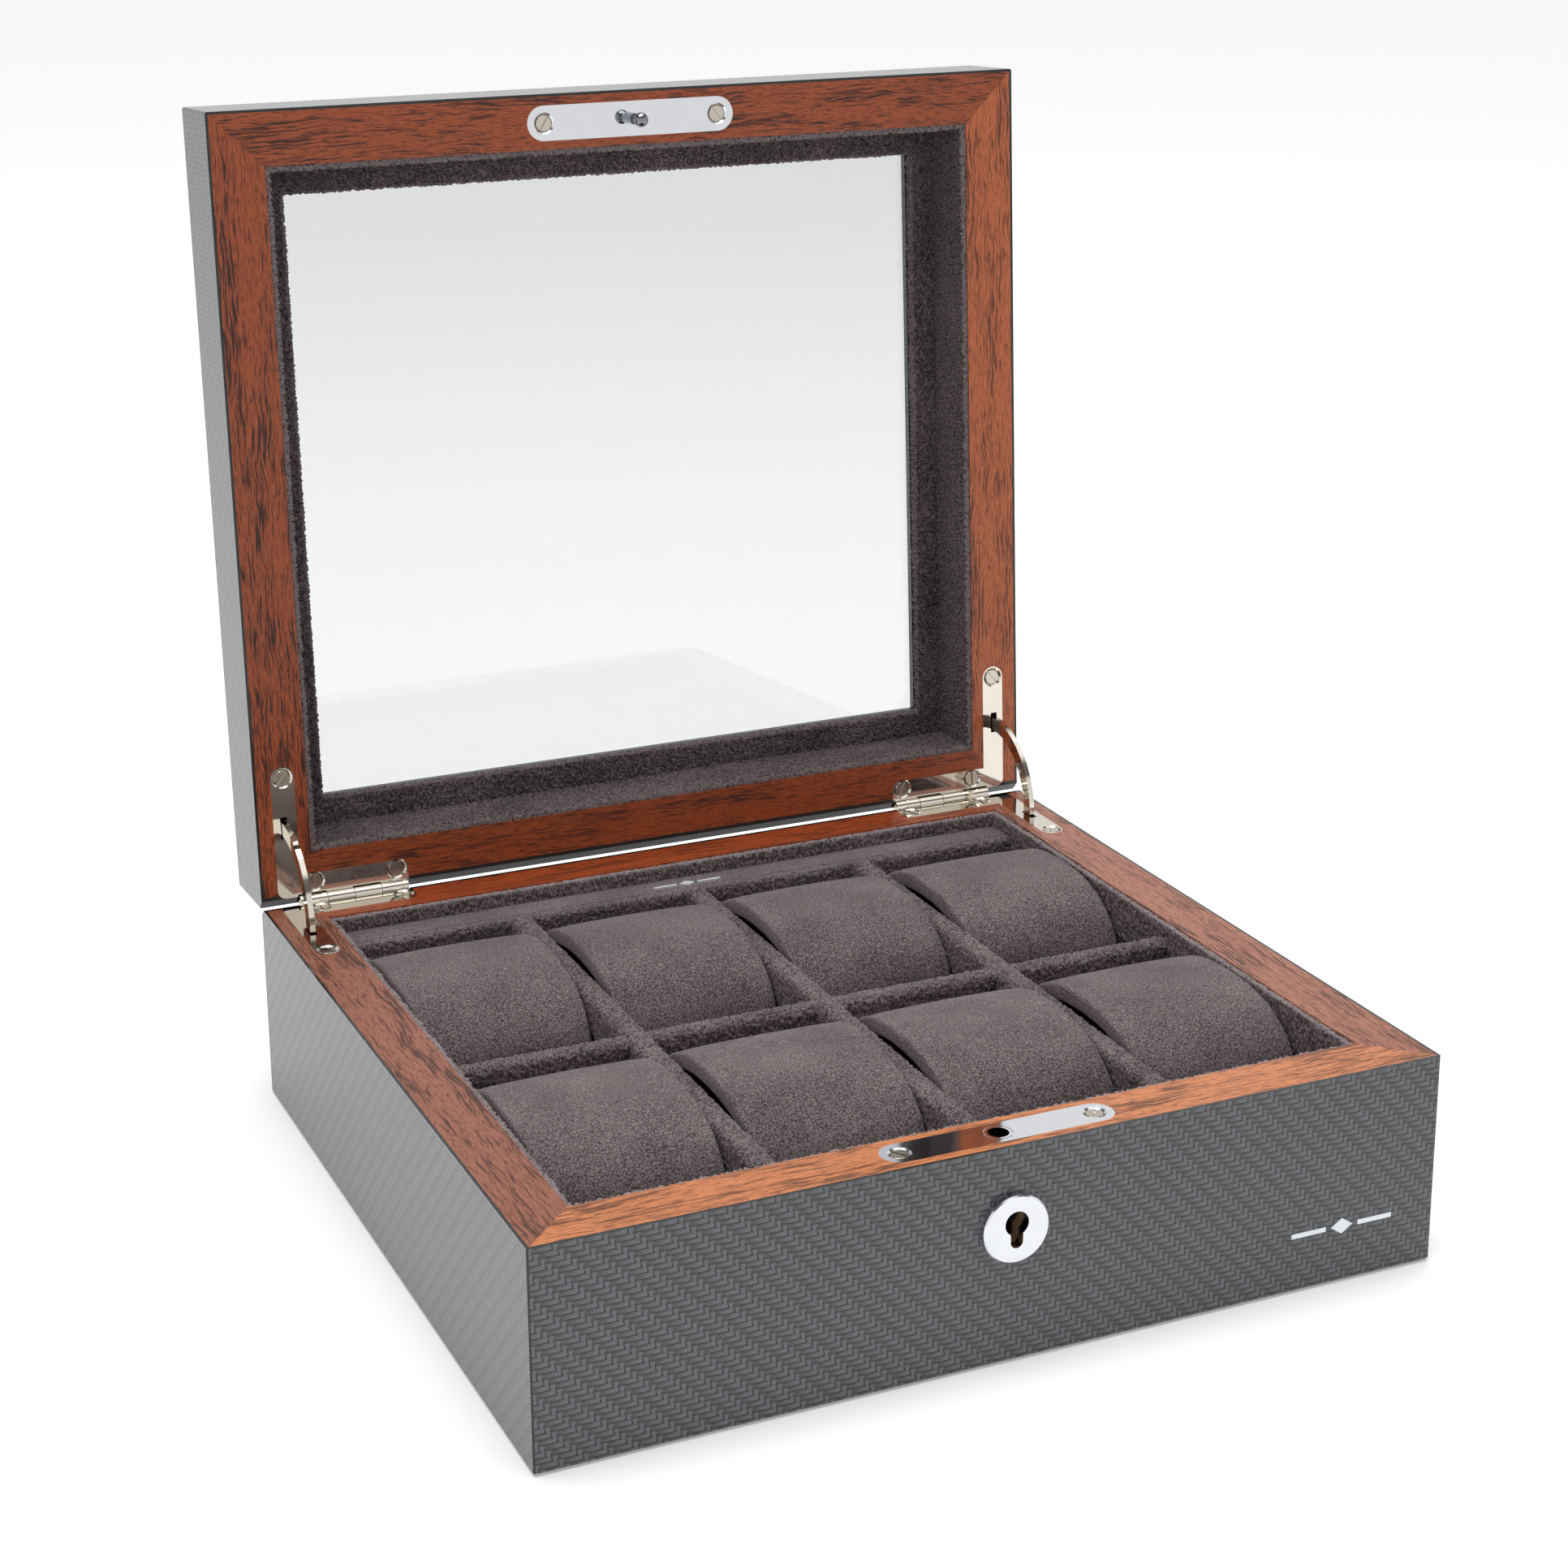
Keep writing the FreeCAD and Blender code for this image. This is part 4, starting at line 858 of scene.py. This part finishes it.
class WATCHBOX_OT_cuffs(bpy.types.Operator):
    """Pad and cover the eight watch cuffs"""
    bl_idname = "watchbox.cuffs"
    bl_label = "Cuffs"

    def outline(self, turn, half_depth, half_height):
        """A point of the rounded outline, across and up from its middle."""
        look = settings("cuff")
        cosine, sine = math.cos(turn), math.sin(turn)
        return (math.copysign(abs(cosine) ** (2 / look.power), cosine) * half_depth,
                math.copysign(abs(sine) ** (2 / look.power), sine) * half_height)

    def execute(self, context):
        look = settings("cuff")
        for number in range(1, CUFFS + 1):
            low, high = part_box("cushion_%d" % number)
            half_x = (high.x - low.x) / 2
            half_y = (high.y - low.y) / 2
            half_z = look.height / 2
            middle = Vector(((low.x + high.x) / 2, (low.y + high.y) / 2, high.z - half_z))
            corner = math.acos((look.mouth / half_y) ** (look.power / 2))
            sweep = 2 * math.pi - 2 * (math.pi / 2 - corner)
            cuff = bmesh.new()
            bmesh.ops.create_grid(cuff, x_segments=CUFF_CUTS[0], y_segments=CUFF_CUTS[1],
                                  size=1.0)
            grown = bmesh.ops.extrude_face_region(cuff, geom=cuff.faces[:],
                                                  use_keep_orig=True)["geom"]
            inner = {item for item in grown if isinstance(item, bmesh.types.BMVert)}
            for vertex in cuff.verts:
                share, run = vertex.co.x, vertex.co.y
                turn = math.pi / 2 - run * sweep / 2
                shrink = look.crown * share * share
                if vertex in inner:
                    shrink = look.wall
                elif WELT_BAND[0] < abs(share) < WELT_BAND[1]:
                    shrink += look.welt
                across, up = self.outline(turn, half_y - shrink, half_z - shrink)
                # no two cuffs are stuffed quite alike
                wave = 1 + noise.noise(Vector((share * 1.3 + 7 * number, run * 4.0, 0.0)))
                if vertex not in inner:
                    across *= 1 - WANDER_ACROSS * wave / 2
                    up *= 1 - WANDER_UP * wave / 2
                vertex.co = (share * (half_x - WANDER_ENDS * wave), across, up)
            bmesh.ops.recalc_face_normals(cuff, faces=cuff.faces)
            # the suede turns over the padding where outside and inside meet
            ends = [edge for edge in cuff.edges if edge.calc_face_angle(0.0) > 1.0]
            bmesh.ops.bevel(cuff, geom=ends, offset=look.roll, affect="EDGES", segments=3,
                            profile=0.5, material=-1, clamp_overlap=True)
            bmesh.ops.translate(cuff, verts=cuff.verts, vec=middle)
            name = "suede_cuff_%d" % number
            suede = suede_material("brushed_" + name, 0.52 * MM, 0.35 * MM, 5.0 + number,
                                   tufted=False, sheen=0.5)
            piece = finish_shape(cuff, name, suede, "watch_cushion_%d" % number,
                                 ["cushion_%d" % number])
            rounding = piece.modifiers.new("rounding", "SUBSURF")
            rounding.levels = 1
            rounding.render_levels = 1
        return {"FINISHED"}


class WATCHBOX_OT_stage(bpy.types.Operator):
    """Set the paper floor, soft light and camera"""
    bl_idname = "watchbox.stage"
    bl_label = "Stage"

    def lamp(self, name, place, size, power):
        """A large soft lamp pointed at the box."""
        data = bpy.data.lights.new(name, "AREA")
        data.shape = "DISK"
        data.size = size
        data.energy = power
        lamp = bpy.data.objects.new(name, data)
        lamp.location = place
        lamp.rotation_euler = (AIM - Vector(place)).to_track_quat("-Z", "Y").to_euler()
        bpy.context.scene.collection.objects.link(lamp)

    def room(self, scene):
        """The room that the metal and lacquer mirror; the camera and the glass see it white."""
        world = bpy.data.worlds.new("soft_room")
        world.use_nodes = True
        tree = world.node_tree
        way = add(tree, "TexCoord")
        height = add(tree, "SeparateXYZ", {0: way.outputs["Generated"]})
        glow = add(tree, "ValToRGB", {0: height.outputs[2]},
                   stops=[(place, (level, level, level, 1)) for place, level in ROOM_BANDS])
        ray = add(tree, "LightPath")
        seen = add(tree, "Math", {0: ray.outputs["Is Camera Ray"],
                                  1: ray.outputs["Is Transmission Ray"]}, operation="MAXIMUM")
        strength = add(tree, "Mix", {0: seen, 2: glow, 3: 1.0})
        backdrop = tree.nodes["Background"]
        backdrop.inputs["Color"].default_value = (1, 1, 1, 1)
        tree.links.new(strength.outputs[0], backdrop.inputs["Strength"])
        scene.world = world
        scene.view_settings.view_transform = "Standard"

    def paper(self, scene):
        """Matt white paper on the table, with a little light of its own."""
        sheet = bmesh.new()
        bmesh.ops.create_grid(sheet, x_segments=1, y_segments=1, size=FLOOR_REACH)
        data = bpy.data.meshes.new("paper_floor")
        sheet.to_mesh(data)
        sheet.free()
        floor = bpy.data.objects.new("paper_floor", data)
        scene.collection.objects.link(floor)
        matt, _, shader = start_material("matt_paper", Roughness=0.9, Specular_IOR_Level=0.1)
        shader.inputs["Base Color"].default_value = rgba(settings("stage").floor)
        shader.inputs["Emission Color"].default_value = (1, 1, 1, 1)
        shader.inputs["Emission Strength"].default_value = PAPER_GLOW
        data.materials.append(matt)

    def camera(self, scene):
        """A camera turned about a point in the box, then moved aside, up and back."""
        look = settings("stage")
        flat = math.cos(look.elevation)
        back = Vector((math.sin(look.azimuth) * flat, -math.cos(look.azimuth) * flat,
                       math.sin(look.elevation)))
        right = Vector((0, 0, 1)).cross(back).normalized()
        up = back.cross(right)
        right, up = (math.cos(look.roll) * right + math.sin(look.roll) * up,
                     math.cos(look.roll) * up - math.sin(look.roll) * right)
        target = CAMERA_PIVOT - look.aside * right + look.raised * up
        camera = bpy.data.objects.new("camera", bpy.data.cameras.new("camera"))
        camera.data.sensor_width = 36.0
        camera.data.lens = look.lens
        camera.data.shift_y = look.lift
        camera.matrix_world = Matrix.Translation(target + back * look.distance) @ Matrix(
            (right, up, back)).transposed().to_4x4()
        scene.collection.objects.link(camera)
        scene.camera = camera

    def execute(self, context):
        self.room(context.scene)
        self.paper(context.scene)
        for name, place, size, power in LAMPS:
            self.lamp(name, place, size, power)
        self.camera(context.scene)
        return {"FINISHED"}


class WATCHBOX_PT_sidebar(bpy.types.Panel):
    """Sizes, colours and making of the watch box"""
    bl_idname = "WATCHBOX_PT_sidebar"
    bl_label = "Watch Box"
    bl_space_type = "VIEW_3D"
    bl_region_type = "UI"
    bl_category = "Watch Box"

    def draw(self, context):
        for operator in OPERATORS:
            self.layout.operator(operator.bl_idname)
        for kind, group in SETTINGS.items():
            box = self.layout.box()
            box.label(text=kind.capitalize())
            for key in group.__annotations__:
                box.prop(settings(kind), key)


OPERATORS = (WATCHBOX_OT_laminate, WATCHBOX_OT_wood, WATCHBOX_OT_metal, WATCHBOX_OT_glass,
             WATCHBOX_OT_linings, WATCHBOX_OT_tray, WATCHBOX_OT_cuffs, WATCHBOX_OT_stage)


def register():
    """Adds the settings, operators and panel."""
    for kind, group in SETTINGS.items():
        bpy.utils.register_class(group)
        setattr(bpy.types.Scene, "watch_box_" + kind, bpy.props.PointerProperty(type=group))
    for operator in OPERATORS:
        bpy.utils.register_class(operator)
    bpy.utils.register_class(WATCHBOX_PT_sidebar)


def unregister():
    """Removes what register added."""
    bpy.utils.unregister_class(WATCHBOX_PT_sidebar)
    for operator in reversed(OPERATORS):
        bpy.utils.unregister_class(operator)
    for kind, group in SETTINGS.items():
        delattr(bpy.types.Scene, "watch_box_" + kind)
        bpy.utils.unregister_class(group)


def main():
    """Makes everything: adds the settings, operators and panel, then runs each operator."""
    register()
    for operator in OPERATORS:
        group, name = operator.bl_idname.split(".")
        getattr(getattr(bpy.ops, group), name)()


if __name__ == "__main__":
    main()
